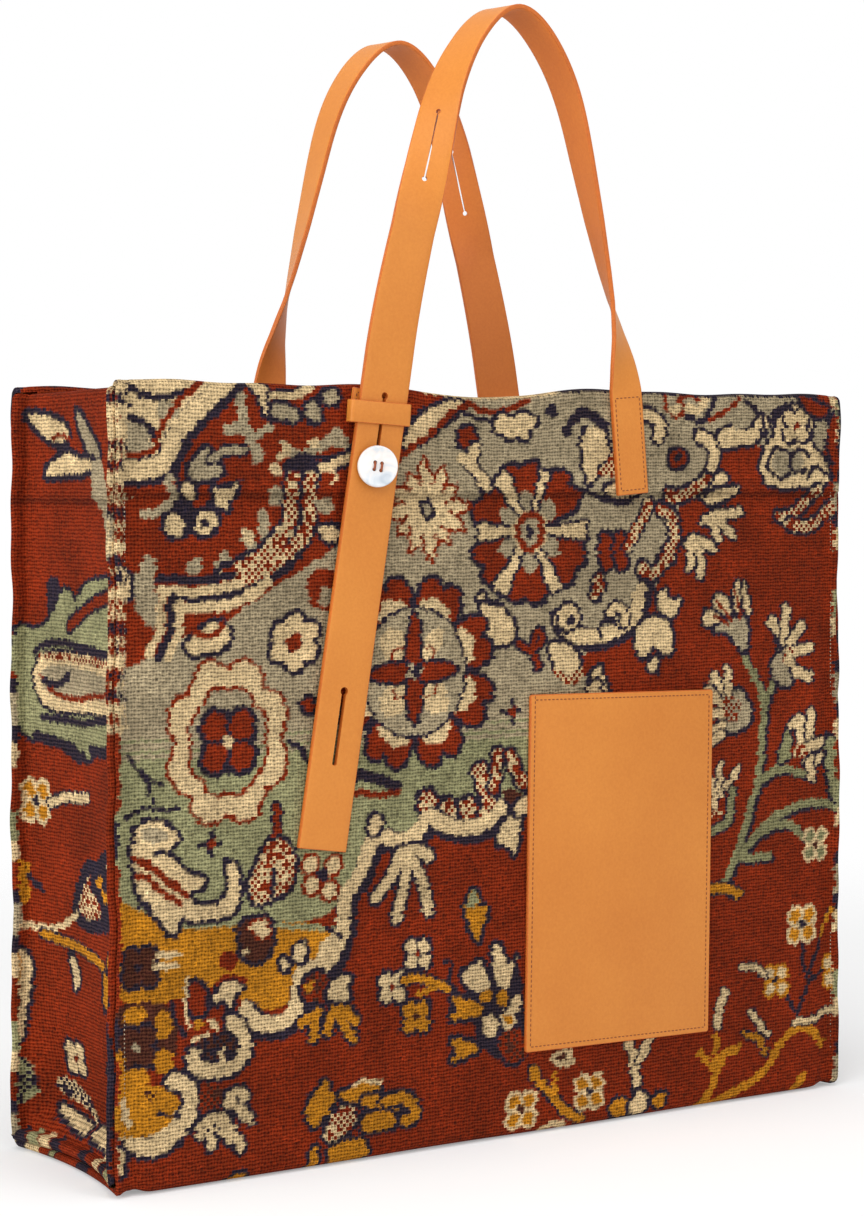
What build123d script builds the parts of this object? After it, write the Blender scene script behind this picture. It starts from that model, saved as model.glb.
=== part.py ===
from build123d import *
import os
from math import cos, radians, sin
from numpy import interp

# A carpet tote bag, in millimetres. One carpet cloth is folded under the bag as front, base and back,
# and a bowed gusset is sewn into each end. A leather handle on each face is sewn down at one end and
# buttoned at the other. +Z is up, the front faces -Y, and the origin is under the middle of the bag.

# Carpet cloth
panel_width = 430.0
body_height = 380.0
body_depth = 120.0
carpet_thickness = 3.5
bottom_radius = 12.0
hem_depth = 37.0
hem_clearance = 1.0
fold_round_share = 0.95

# Corner seams, where both cloths stand out together as a fin with a stitched groove at its root
fin_length = 6.5
groove_width = 2.0
groove_depth = 1.2

# Gussets, a little lower than the front and bowed inwards, with the crease just above the bottom seam
gusset_drop = 3.0
gusset_bow = 17.0
gusset_facets = 8
gusset_height_shares = (0, 0.083, 0.17, 0.42, 1)
gusset_bow_shares = (0.3, 1, 0.66, 0.42, 0.16)

# Handle straps, each one length of leather: a wide tail with slits, a narrow arch and a sewn end
strap_thickness = 2.4
tail_width = 27.0
handle_width = 21.0
sewn_width = 19.5
tail_end_across = -111.5
tail_end_drop = 226.0
tail_clearance = 0.2
sewn_top_across = 72.0
sewn_end_across = 76.5
sewn_end_drop = 54.0
slit_length = 35.0
slit_width = 1.0
slit_hole = 2.6
slit_hole_sides = 10
slit_pitch = 145.5

# Arch of the handle: points between its feet, and the turn and width of the strap along it
handle_rise = 191.5
arch_start_rise = 15.0
arch_across_shares = (0.17, 0.30, 0.485, 0.66, 0.80, 0.92)
arch_rise_shares = (0.62, 0.885, 1, 0.90, 0.64, 0.285)
arch_half_turn = 180
arch_length_shares = (0, 0.155, 0.26, 0.33, 0.40, 0.48, 0.545, 0.62, 0.70, 0.78, 0.845, 0.885, 0.93, 0.965, 1)
arch_turn_shares = (0, 0.03, 0.20, 0.33, 0.40, 0.43, 0.445, 0.475, 0.51, 0.56, 0.625, 0.68, 0.785, 0.90, 1)
taper_end_share = 0.28
arch_slices = 36

# Keeper band round the strap, and the leather tab that it is sewn to
keeper_drop = 14.0
keeper_band = 11.0
keeper_width = 36.0
keeper_thickness = 1.6
keeper_clearance = 0.2
keeper_corner = 1.8
tab_drop = 15.5
tab_width = 31.0
tab_height = 24.0
tab_thickness = 1.6

# Four-hole button at the lower end of the middle slit, turned towards the left on its wound thread
button_across = -83.5
button_drop = 40.0
button_tilt = 15.0
button_diameter = 20.5
button_sides = 32
button_thickness = 2.4
button_rim = 1.5
button_dish = 0.5
button_edge = 0.7
button_hole = 1.9
button_hole_spacing = 3.5
button_hole_sides = 10
button_stand = 3.2
collar_start = 0.6
collar_diameter = 4.0
shank_diameter = 2.2
shank_rise = 1.2
thread_diameter = 1.2
thread_sides = 8

# Patch pocket on the front
pocket_width = 118.0
pocket_height = 182.0
pocket_thickness = 2.0
pocket_corner = 1.5
pocket_middle_across = 69.0
pocket_middle_height = 132.0
pocket_tilt = 1.0

# Every cut runs this far past the surface that it goes through
overrun = 5.0

half_depth = body_depth / 2
half_width = panel_width / 2
gusset_top = body_height - gusset_drop
tail_end_height = body_height - tail_end_drop
sewn_end_height = body_height - sewn_end_drop
keeper_at_height = body_height - keeper_drop
tab_at_height = body_height - tab_drop
button_height = body_height - button_drop


def pouch(inset, top):
    """Upright section across the bag, closed below by two rounded corners."""
    side = half_depth - inset
    outline = make_face(Polyline((-side, inset), (side, inset), (side, top), (-side, top), close=True))
    return fillet(outline.vertices().group_by(Axis.Y)[0], bottom_radius - inset)


def cloth_section(inset, thickness, top):
    """U section of one cloth, the corners of its top edge taken off."""
    cloth = pouch(inset, top) - pouch(inset + thickness, top + overrun)
    return chamfer(cloth.vertices().group_by(Axis.Y)[-1], thickness / 2 * fold_round_share)


def hemmed_section():
    """U section of the body, with the hem folded down inside the front and the back."""
    cloth = pouch(0, body_height) - pouch(carpet_thickness, body_height + overrun)
    hem_middle = half_depth - carpet_thickness * 3 / 2
    for side in (-1, 1):
        cloth += Pos(side * hem_middle, body_height - hem_depth / 2) * Rectangle(carpet_thickness, hem_depth)
    return fillet(cloth.vertices().group_by(Axis.Y)[-1], carpet_thickness * fold_round_share)


def run_across(section, start, stop):
    """A section across the bag, drawn out along X."""
    return Pos(start, 0, 0) * extrude(Plane.YZ * section, stop - start)


def make_carpet_body():
    """Front, base and back in one cloth, with the seam fins and their grooves at both ends."""
    plain = cloth_section(0, carpet_thickness, body_height)
    grooved = cloth_section(groove_depth, carpet_thickness - groove_depth, body_height)
    hem_end = half_width - carpet_thickness - hem_clearance
    groove_start = half_width - groove_width / 2
    groove_stop = half_width + groove_width / 2
    body = run_across(hemmed_section(), -hem_end, hem_end)
    for section, start, stop in (
        (plain, hem_end, groove_start),
        (grooved, groove_start, groove_stop),
        (plain, groove_stop, half_width + fin_length),
    ):
        side = run_across(section, start, stop)
        body += side
        body += mirror(side, about=Plane.YZ)
    return body


def gusset_slice(height, inset, thickness, half_span):
    """Level slice of the left gusset's cloth, bowed into the bag."""
    share = (height - carpet_thickness) / (gusset_top - carpet_thickness)
    bow = gusset_bow * interp(share, gusset_height_shares, gusset_bow_shares)
    outside = inset - half_width
    arc = ThreePointArc((outside, -half_span), (outside + bow, 0), (outside, half_span))
    near_side = [arc @ (step / gusset_facets) for step in range(gusset_facets + 1)]
    far_side = [point + Vector(thickness, 0) for point in reversed(near_side)]
    return Pos(0, 0, height) * make_face(Polyline(*near_side, *far_side, close=True))


def make_left_gusset():
    """Bowed panel with its hem, and the flange that turns out against the body's three edges."""
    span = half_depth - carpet_thickness
    cloth_rise = gusset_top - carpet_thickness
    heights = [carpet_thickness + cloth_rise * share for share in gusset_height_shares]
    panel = loft([gusset_slice(height, 0, carpet_thickness, span) for height in heights], ruled=True)
    panel = panel & run_across(pouch(carpet_thickness, gusset_top), -panel_width, 0)
    hem_span = span - carpet_thickness - hem_clearance
    hem_heights = (gusset_top - hem_depth, gusset_top)
    hem_inset = carpet_thickness / 2
    hem_slices = [gusset_slice(height, hem_inset, carpet_thickness * 3 / 2, hem_span) for height in hem_heights]
    hem = loft(hem_slices, ruled=True)
    flange_section = cloth_section(carpet_thickness, carpet_thickness, gusset_top)
    flange = run_across(flange_section, -half_width - fin_length, carpet_thickness - half_width)
    return panel + hem + flange


def strap_plane(middle, along, turn):
    """Plane across a strap, with x over its width and y towards its flesh side."""
    level = Vector(cos(radians(turn)), -sin(radians(turn)), 0)
    across = level - along * level.dot(along)
    return Plane(origin=middle, x_dir=across, z_dir=along)


def leg_at(height):
    """Middle of the buttoned leg, which leans across and stands off the front by its keeper."""
    lean = (button_across - tail_end_across) / (button_height - tail_end_height)
    tail_out = half_depth + tail_clearance + strap_thickness / 2
    keeper_out = half_depth + tab_thickness + keeper_thickness + keeper_clearance * 2 + strap_thickness / 2
    slope = (keeper_out - tail_out) / (keeper_at_height - tail_end_height)
    climb = height - tail_end_height
    return Vector(tail_end_across + climb * lean, -tail_out - climb * slope, height)


tail_end = leg_at(tail_end_height)
arch_start = leg_at(body_height + arch_start_rise)
leg_along = (arch_start - tail_end).normalized()
sewn_top = Vector(sewn_top_across, -half_depth - strap_thickness / 2, body_height)
sewn_end = Vector(sewn_end_across, -half_depth - strap_thickness / 2, sewn_end_height)
sewn_along = (sewn_end - sewn_top).normalized()


def make_arch():
    """Line of the handle from the buttoned leg over to the sewn end."""
    points = [arch_start]
    for across, rise in zip(arch_across_shares, arch_rise_shares):
        level = arch_start + (sewn_top - arch_start) * across
        points.append(Vector(level.X, level.Y, body_height + handle_rise * rise))
    points.append(sewn_top)
    return Spline(*points, tangents=[leg_along, sewn_along])


arch = make_arch()


def arch_plane(share):
    """Plane across the strap at a share of the arch's length."""
    turn = arch_half_turn * interp(share, arch_length_shares, arch_turn_shares)
    middle = arch.position_at(share * arch.length, position_mode=PositionMode.LENGTH)
    along = arch.tangent_at(share * arch.length, position_mode=PositionMode.LENGTH)
    return strap_plane(middle, along, turn)


def strap_slice(share):
    """Slice across the strap at a share of the arch's length."""
    width = interp(share, (0, taper_end_share, 1), (tail_width, handle_width, sewn_width))
    return arch_plane(share) * Rectangle(width, strap_thickness)


def make_slit():
    """Cutter for a buttonhole: a slit along the strap with a round hole at each end."""
    slit = Rectangle(slit_width, slit_length)
    for end in (-1, 1):
        slit += Pos(0, end * slit_length / 2) * RegularPolygon(slit_hole / 2, slit_hole_sides)
    return extrude(Plane.XZ * slit, strap_thickness + overrun, both=True)


def make_front_strap():
    """Flat tail, twisted arch and flat sewn end in one strap, with three buttonholes."""
    tail = extrude(strap_plane(tail_end, leg_along, 0) * Rectangle(tail_width, strap_thickness),
                   (arch_start - tail_end).length)
    handle = loft([strap_slice(step / arch_slices) for step in range(arch_slices + 1)], ruled=True)
    sewn = extrude(strap_plane(sewn_top, sewn_along, arch_half_turn) * Rectangle(sewn_width, strap_thickness),
                   (sewn_end - sewn_top).length)
    strap = tail + handle + sewn
    middle_slit = leg_at(button_height) + leg_along * (slit_length / 2)
    lower_slit = middle_slit - leg_along * slit_pitch
    upper_share = (slit_pitch - (arch_start - middle_slit).length) / arch.length
    slit = make_slit()
    for plane in (
        strap_plane(lower_slit, leg_along, 0),
        strap_plane(middle_slit, leg_along, 0),
        arch_plane(upper_share),
    ):
        strap -= plane.location * slit
    return strap


def make_front_keeper():
    """Flat leather ring round the strap, its back run sewn to the tab."""
    inner_width = keeper_width - keeper_thickness * 2
    inner_depth = strap_thickness + keeper_clearance * 2
    ring = RectangleRounded(keeper_width, inner_depth + keeper_thickness * 2, keeper_corner)
    ring -= RectangleRounded(inner_width, inner_depth, keeper_corner - keeper_thickness / 2)
    plane = strap_plane(leg_at(keeper_at_height), leg_along, 0)
    return extrude(plane * ring, keeper_band / 2, both=True)


def make_front_tab():
    """Leather patch on the carpet behind the keeper, square to the strap."""
    strap_middle = leg_at(tab_at_height)
    across = Vector(leg_along.Z, 0, -leg_along.X)
    on_front = Plane(origin=(strap_middle.X, -half_depth, tab_at_height), x_dir=across, z_dir=(0, -1, 0))
    return extrude(on_front * Rectangle(tab_width, tab_height), tab_thickness)


def button_place():
    """Plane on the strap's grain side at the button, with z out of the leather and y up the strap."""
    across_strap = strap_plane(leg_at(button_height), leg_along, 0)
    outward = across_strap.y_dir * -1
    return Plane(origin=across_strap.origin + outward * (strap_thickness / 2),
                 x_dir=across_strap.x_dir, z_dir=outward).location


def button_hole_places():
    """Middles of the four button holes."""
    return GridLocations(button_hole_spacing, button_hole_spacing, 2, 2)


def make_front_button():
    """Round shell button with a raised rim, standing on its wound thread."""
    radius = button_diameter / 2
    button = extrude(RegularPolygon(radius, button_sides), button_thickness)
    flat_faces = button.faces().sort_by(Axis.Z)
    button = chamfer(flat_faces[0].edges() + flat_faces[-1].edges(), button_edge)
    dish = extrude(RegularPolygon(radius - button_rim, button_sides), overrun)
    button -= Pos(0, 0, button_thickness - button_dish) * dish
    hole = extrude(RegularPolygon(button_hole / 2, button_hole_sides), button_thickness + overrun, both=True)
    for place in button_hole_places():
        button -= place * hole
    return button_place() * Rot(0, -button_tilt, 0) * Pos(0, 0, button_stand) * button


def make_front_thread():
    """Two bars over the button, legs through its holes, a wound collar and the shank in the slit."""
    on_base = (Align.CENTER, Align.CENTER, Align.MIN)
    face = button_stand + button_thickness - button_dish
    wound = extrude(RegularPolygon(collar_diameter / 2, thread_sides), button_stand - collar_start)
    thread = Pos(0, 0, collar_start) * wound
    leg_start = collar_start + thread_diameter / 2
    leg = extrude(RegularPolygon(thread_diameter / 2, thread_sides), face - leg_start)
    for place in button_hole_places():
        thread += place * Pos(0, 0, leg_start) * leg
    bar_length = button_hole_spacing + thread_diameter
    for side in (-1, 1):
        bar = Box(thread_diameter, bar_length, thread_diameter / 2, align=on_base)
        thread += Pos(side * button_hole_spacing / 2, 0, face) * bar
    stand_off = -leg_at(button_height).Y + strap_thickness / 2 - half_depth - tail_clearance
    shank = extrude(RegularPolygon(shank_diameter / 2, thread_sides), stand_off + shank_rise)
    return button_place() * (Rot(0, -button_tilt, 0) * thread + Pos(0, 0, -stand_off) * shank)


def make_pocket():
    """Flat leather patch on the front, hung a little askew."""
    across = Vector(cos(radians(pocket_tilt)), 0, -sin(radians(pocket_tilt)))
    middle = (pocket_middle_across, -half_depth, pocket_middle_height)
    on_front = Plane(origin=middle, x_dir=across, z_dir=(0, -1, 0))
    return extrude(on_front * RectangleRounded(pocket_width, pocket_height, pocket_corner), pocket_thickness)


left_gusset = make_left_gusset()
pieces = {
    "carpet_body": make_carpet_body(),
    "left_gusset": left_gusset,
    "right_gusset": mirror(left_gusset, about=Plane.YZ),
    "pocket": make_pocket(),
}
front_pieces = {
    "strap": make_front_strap(),
    "keeper": make_front_keeper(),
    "tab": make_front_tab(),
    "button": make_front_button(),
    "button_thread": make_front_thread(),
}
# The back handle and its fastening are the front ones, turned half round the bag's upright axis
half_round = Rot(0, 0, 180)
for name, piece in front_pieces.items():
    pieces["front_" + name] = piece
    pieces["back_" + name] = half_round * piece

os.makedirs("parts", exist_ok=True)
for name, piece in pieces.items():
    export_step(piece, f"parts/{name}.step")
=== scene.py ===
import math

import bpy
import numpy as np
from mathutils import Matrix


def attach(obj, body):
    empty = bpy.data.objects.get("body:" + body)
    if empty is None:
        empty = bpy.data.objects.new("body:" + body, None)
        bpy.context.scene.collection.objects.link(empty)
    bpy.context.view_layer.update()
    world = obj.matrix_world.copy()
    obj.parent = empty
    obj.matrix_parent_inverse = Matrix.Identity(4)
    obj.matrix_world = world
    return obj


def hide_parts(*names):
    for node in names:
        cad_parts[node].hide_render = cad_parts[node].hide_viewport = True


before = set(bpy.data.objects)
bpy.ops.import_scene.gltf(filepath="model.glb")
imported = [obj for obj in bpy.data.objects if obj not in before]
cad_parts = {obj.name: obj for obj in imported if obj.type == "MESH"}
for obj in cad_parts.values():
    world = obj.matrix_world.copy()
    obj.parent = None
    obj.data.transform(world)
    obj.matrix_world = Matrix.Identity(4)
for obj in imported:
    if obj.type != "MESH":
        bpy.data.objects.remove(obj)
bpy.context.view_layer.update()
mm = 0.001

# Carpet body
# One thick cut-pile carpet cloth, knotted in wool to an oriental design, is folded under the bag as
# front, base and back. Its top edges are turned in as a deep hem, and its side edges are folded back
# and sewn to the gussets, so that each corner stands out as a fin.
knot_width, row_height = 1.7, 1.8
cloth_half_width, cloth_half_depth, cloth_height, cloth_thick = 220.0, 60.0, 380.0, 3.5
hem_depth, fold_radius, base_radius, tip_radius, tip_return = 37.0, 3.5, 5.0, 1.75, 4.0
seam_across, groove_depth, hem_crease, crease_below = 215.0, 1.3, 1.7, 54.0
yarn_dyes = {
    "rust": (120, 34, 8),
    "navy": (33, 29, 44),
    "cream": (206, 179, 134),
    "khaki": (156, 141, 112),
    "sage": (139, 137, 99),
    "mustard": (180, 117, 24),
    "umber": (70, 34, 26),
    "stem": (126, 124, 88),
}
yarn_numbers = {name: number for number, name in enumerate(yarn_dyes)}
cartoon = {}


def dye(red, green, blue):
    """Colour as the eye reads it, from 0 to 255, turned into light."""
    level = np.array((red, green, blue), float) / 255
    return tuple(float(v) for v in np.where(level <= 0.04045, level / 12.92,
                                            ((level + 0.055) / 1.055) ** 2.4))


def start_cartoon(across, up, seed):
    """Empty knot plan, with two places each way in every knot. Rows and columns wander a little, as
    hand-tied ones do, so that every outline comes out feathered."""
    chance = np.random.default_rng(seed)
    shape = (len(up), len(across))
    rows = np.repeat(chance.uniform(-1.2, 1.2, shape[0] // 2), 2)
    columns = np.repeat(chance.uniform(-0.7, 0.7, shape[1] // 2), 2)
    cartoon["x"] = across[None, :] + rows[:, None] + chance.uniform(-0.2, 0.2, shape)
    cartoon["z"] = up[:, None] + columns[None, :] + chance.uniform(-0.2, 0.2, shape)
    cartoon["row"], cartoon["column"] = up, across
    cartoon["yarn"] = np.zeros(shape, int)
    knots = np.add.outer(np.arange(shape[0] // 2), np.arange(shape[1] // 2)) % 2
    cartoon["check"] = np.kron(knots ^ (chance.uniform(0, 1, knots.shape) < 0.2), np.ones((2, 2), int)) == 0


def about(points, margin):
    """Window of the plan round some places."""
    low, high = np.min(points, 0) - margin, np.max(points, 0) + margin
    rows = np.flatnonzero((cartoon["row"] > low[1]) & (cartoon["row"] < high[1]))
    columns = np.flatnonzero((cartoon["column"] > low[0]) & (cartoon["column"] < high[0]))
    if not (len(rows) and len(columns)):
        return slice(0, 0), slice(0, 0)
    return slice(rows[0], rows[-1] + 1), slice(columns[0], columns[-1] + 1)


def soften(points, closed):
    """Corners cut twice, so that a few points give a flowing outline."""
    points = np.array(points, float)
    for _ in range(2):
        ahead = np.roll(points, -1, 0) if closed else points[1:]
        here = points if closed else points[:-1]
        cut = np.stack((here * 0.75 + ahead * 0.25, here * 0.25 + ahead * 0.75), 1).reshape(-1, 2)
        points = cut if closed else np.vstack((points[:1], cut, points[-1:]))
    return points


def within(points):
    """Knots inside a closed outline."""
    found = np.zeros(cartoon["yarn"].shape, bool)
    part = about(points, 3)
    x, z, hit = cartoon["x"][part], cartoon["z"][part], found[part]
    for (x0, z0), (x1, z1) in zip(points, np.roll(points, -1, 0)):
        if z0 != z1:
            crosses = (z0 > z) != (z1 > z)
            hit ^= crosses & (x < (x1 - x0) * (z - z0) / (z1 - z0) + x0)
    return found


def near(points, width):
    """Knots within half a width of a line."""
    found = np.zeros(cartoon["yarn"].shape, bool)
    for start, stop in zip(points[:-1], points[1:]):
        part = about((start, stop), width / 2 + 3)
        x, z = cartoon["x"][part] - start[0], cartoon["z"][part] - start[1]
        dx, dz = stop - start
        share = np.clip((x * dx + z * dz) / max(dx * dx + dz * dz, 1e-9), 0, 1)
        found[part] |= np.hypot(x - share * dx, z - share * dz) <= width / 2
    return found


def lay(yarn, knots, other=None):
    """Yarn over the chosen knots, or two yarns check by check."""
    cartoon["yarn"][knots] = yarn_numbers[yarn]
    if other:
        cartoon["yarn"][knots & cartoon["check"]] = yarn_numbers[other]


def patch(yarn, *points, other=None, rim=None, rim_width=2.6):
    """Field of one yarn, or of two checked, with a rim line if it has one."""
    outline = soften(points, True)
    if rim:
        lay(rim, near(np.vstack((outline, outline[:1])), rim_width * 2))
    lay(yarn, within(outline), other)


def leaf(yarn, *points, rim="navy", rim_width=2.6, other=None):
    """Rimmed field."""
    patch(yarn, *points, rim=rim, rim_width=rim_width, other=other)


def line(yarn, width, *points, rim=0, other=None):
    """Stem, vein or band along a soft line, with a navy rim if it has one."""
    run = soften(points, False)
    if rim:
        lay("navy", near(run, width + rim * 2))
    lay(yarn, near(run, width), other)


def spot(yarn, x, z, across, up=None, turn=0, rim=None, rim_width=2.4, other=None):
    """Oval."""
    up = across if up is None else up
    if rim:
        spot(rim, x, z, across + rim_width, up + rim_width, turn)
    angle, reach = math.radians(turn), max(across, up)
    part = about(((x - reach, z - reach), (x + reach, z + reach)), 3)
    dx, dz = cartoon["x"][part] - x, cartoon["z"][part] - z
    along = dx * math.cos(angle) + dz * math.sin(angle)
    aside = dz * math.cos(angle) - dx * math.sin(angle)
    found = np.zeros(cartoon["yarn"].shape, bool)
    found[part] = (along / across) ** 2 + (aside / up) ** 2 <= 1
    lay(yarn, found, other)


def spray(yarn, width, *runs, rim=2, other=None):
    """Strokes that meet, with one navy rim round them all."""
    for run in runs:
        line("navy", width + 2 * rim, *run)
    for run in runs:
        line(yarn, width, *run, other=other)


def strokes(yarn, width, rim, *runs):
    """Strokes that lie over one another, each with its own navy rim."""
    for run in runs:
        line(yarn, width, *run, rim=rim)


def around(x, z, reach, turns):
    """Places round a middle, each with its angle."""
    return [(x + reach * math.cos(math.radians(t)), z + reach * math.sin(math.radians(t)), t) for t in turns]


def petal(yarn, middle, turn, shape, **kind):
    """Rimmed field, given by reach and aside, that points away from a middle."""
    c, s = math.cos(math.radians(turn)), math.sin(math.radians(turn))
    leaf(yarn, *[(middle[0] + a * c - b * s, middle[1] + a * s + b * c) for a, b in shape], **kind)


def lobed(middle, reach, depth, lobes):
    """Upright oval outline with round lobes."""
    turn = np.linspace(0, 2 * math.pi, 90, endpoint=False)
    far = reach + depth * np.abs(np.sin(turn * lobes / 2))
    return np.stack((middle[0] + 0.9 * far * np.cos(turn), middle[1] + 1.1 * far * np.sin(turn)), 1)


def blossom(x, z, reach, size, yarn, inner=None, heart="navy", rim=None):
    """Small flower of four round petals."""
    if rim:
        for px, pz, turn in around(x, z, reach, (45, 135, 225, 315)):
            spot(rim, px, pz, size + 2.2)
    for px, pz, turn in around(x, z, reach, (45, 135, 225, 315)):
        spot(yarn, px, pz, size)
        if inner:
            spot(inner, px, pz, size * 0.62)
    spot(heart, x, z, size * 0.42)


def draw_medallion():
    """Khaki and sage field of the medallion with the mustard shade below it."""
    patch("khaki", (-30, 384), (-46, 368), (-64, 346), (-72, 330), (-100, 302), (-122, 290), (-150, 274),
          (-166, 264), (-186, 260), (-202, 250), (-224, 242), (-224, 120), (-160, 118), (-120, 118),
          (-95, 128), (-86, 150), (-60, 152), (-45, 158), (-20, 158), (6, 168), (26, 180), (44, 204),
          (52, 226), (40, 240), (60, 250), (84, 262), (95, 282), (107, 300), (107, 320), (124, 334),
          (134, 352), (165, 353), (214, 345), (226, 384))
    field = cartoon["yarn"] == yarn_numbers["khaki"]
    lay("sage", field & (cartoon["z"] < 203) & (cartoon["x"] < 40))
    lay("sage", field & (cartoon["z"] < 212) & (cartoon["x"] < 40) & (np.floor(cartoon["z"] / 1.8) % 3 == 0))
    patch("mustard", (-224, 142), (-204, 130), (-186, 121), (-112, 121), (-98, 108), (-112, 96), (-126, 80),
          (-150, 78), (-160, 96), (-190, 88), (-224, 88))
    lay("sage", near(np.array(((-150.0, 121.0), (-104.0, 115.0))), 3))


def draw_corner_field():
    """Upper left: the stepped border, the rust field with its leaves, and the cream corner."""
    patch("cream", (-226, 386), (-163, 386), (-178, 366), (-190, 352), (-194, 342), (-226, 342))
    patch("khaki", (-218, 345), (-203, 345), (-202, 358), (-218, 362))
    patch("khaki", (-200, 360), (-189, 361), (-187, 369), (-200, 370))
    line("navy", 3.4, (-222, 365), (-210, 362), (-203, 358), (-199, 348))
    line("navy", 3.4, (-216, 378), (-206, 372), (-197, 371), (-186, 373), (-176, 380))
    line("navy", 2.8, (-222, 372), (-214, 368))
    spot("rust", -219, 354, 3, 4)
    line("navy", 14, (-226, 337), (-194, 337), (-191, 350), (-181, 362), (-166, 374), (-156, 384))
    line("cream", 9, (-226, 338), (-196, 338), (-192, 352), (-183, 363), (-168, 375), (-159, 384))
    line("rust", 3, (-226, 345), (-201, 345), (-199, 356), (-189, 369), (-174, 382))
    line("navy", 2.4, (-214, 332), (-196, 332), (-189, 334))
    line("khaki", 5.5, (-155, 373), (-154, 358), (-162, 357))
    line("khaki", 6, (-154, 360), (-149, 352), (-146, 344))
    line("khaki", 4, (-150, 354), (-139, 358))
    leaf("khaki", (-185, 334), (-181, 342), (-174, 350), (-171, 344), (-163, 338), (-172, 333))
    line("khaki", 3.6, (-171, 343), (-163, 348), (-154, 347), rim=1.5)
    line("cream", 5.5, (-149, 381), (-142, 375), (-140, 366), rim=2.2)
    line("cream", 4.5, (-138, 373), (-126, 374), (-116, 379), rim=1.6)
    line("rust", 2.6, (-137, 371), (-122, 371), (-112, 378))
    leaf("khaki", (-139, 370), (-125, 369), (-123, 361), (-130, 363), (-138, 362))
    leaf("khaki", (-121, 367), (-113, 374), (-111, 361), (-117, 362))
    leaf("khaki", (-111, 376), (-103, 379), (-100, 370), (-108, 371))
    line("khaki", 5, (-131, 350), (-126, 344), (-116, 347), (-107, 353))
    spot("cream", -131, 348, 2.6, 4)
    spot("cream", -115, 351, 3.4, 2.6)
    patch("khaki", (-108, 352), (-104, 361), (-97, 355), (-92, 349), (-106, 349))
    line("navy", 2.4, (-130, 341), (-116, 344), (-102, 345), (-92, 351))
    line("cream", 4.6, (-126, 334), (-112, 338), (-96, 344), (-88, 348), rim=2)
    spot("rust", -108, 334, 4, 4, rim="cream", rim_width=2)
    spot("cream", -136, 338, 3.4, 3.4)
    spot("cream", -134, 344, 2.2)
    # Navy cluster with cream flowers in the middle of the rust field
    patch("navy", (-190, 331), (-172, 331), (-162, 321), (-170, 309), (-184, 307), (-194, 312))
    line("khaki", 4.5, (-194, 334), (-190, 326), (-194, 319), (-206, 317))
    patch("rust", (-182, 330), (-172, 331), (-170, 322), (-180, 320))
    leaf("cream", (-187, 331), (-180, 333), (-180, 324), (-186, 325))
    leaf("cream", (-171, 330), (-162, 328), (-155, 333), (-160, 325), (-162, 318), (-168, 322))
    leaf("cream", (-197, 315), (-190, 318), (-185, 313), (-186, 307), (-193, 306))
    leaf("cream", (-181, 314), (-176, 319), (-168, 317), (-168, 310), (-176, 306))
    spot("navy", -175, 313, 2.4)
    patch("khaki", (-156, 311), (-148, 308), (-145, 298), (-153, 299))
    spot("cream", -151, 306, 3, 4)
    patch("khaki", (-146, 321), (-140, 318), (-138, 300), (-146, 306))
    patch("khaki", (-166, 298), (-161, 301), (-160, 290), (-172, 289))
    patch("khaki", (-181, 298), (-176, 297), (-176, 289), (-187, 289))
    patch("khaki", (-206, 298), (-201, 298), (-199, 290), (-209, 289))
    patch("khaki", (-141, 329), (-133, 331), (-130, 321), (-138, 320))
    patch("khaki", (-214, 291), (-200, 291), (-199, 262), (-208, 268))
    # Stepped border: checked rust and cream with navy sides, running into cream and navy steps
    line("navy", 21, (-122, 336), (-122, 312), (-131, 301), (-146, 290), (-162, 284))
    line("rust", 7.5, (-127, 334), (-127, 313), (-136, 302), (-149, 293), (-164, 287), other="cream")
    line("rust", 7, (-117, 334), (-117, 309), (-128, 299), (-142, 290), (-156, 285), other="cream")
    patch("rust", (-114, 332), (-100, 332), (-98, 312), (-112, 310))
    spot("khaki", -108, 321, 5, 4)
    leaf("cream", (-114, 310), (-104, 312), (-98, 306), (-106, 302))
    line("navy", 4, (-199, 287), (-172, 286), (-160, 288))
    line("cream", 4.4, (-197, 281), (-168, 281), (-155, 284))
    line("navy", 3, (-193, 277.5), (-164, 277))
    line("cream", 5.4, (-188, 273), (-162, 273), (-150, 278), (-140, 284))
    line("cream", 4.4, (-197, 282), (-197, 266), (-203, 252))
    line("navy", 4.4, (-192, 278), (-192, 264), (-198, 250))
    line("cream", 4.4, (-187.5, 275), (-188, 262), (-193, 250))
    line("rust", 3, (-184, 269.5), (-164, 269))
    leaf("cream", (-183, 260), (-168, 267), (-161, 263), (-162, 252), (-184, 251))
    line("rust", 3, (-184, 268), (-181, 262), (-171, 258), (-165, 265))
    leaf("rust", (-116, 288), (-106, 288), (-101, 280), (-104, 272), (-116, 274), rim="rust")
    spot("khaki", -108, 277, 4, 5)
    leaf("cream", (-220, 292), (-213, 289), (-212, 278), (-220, 280))


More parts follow.
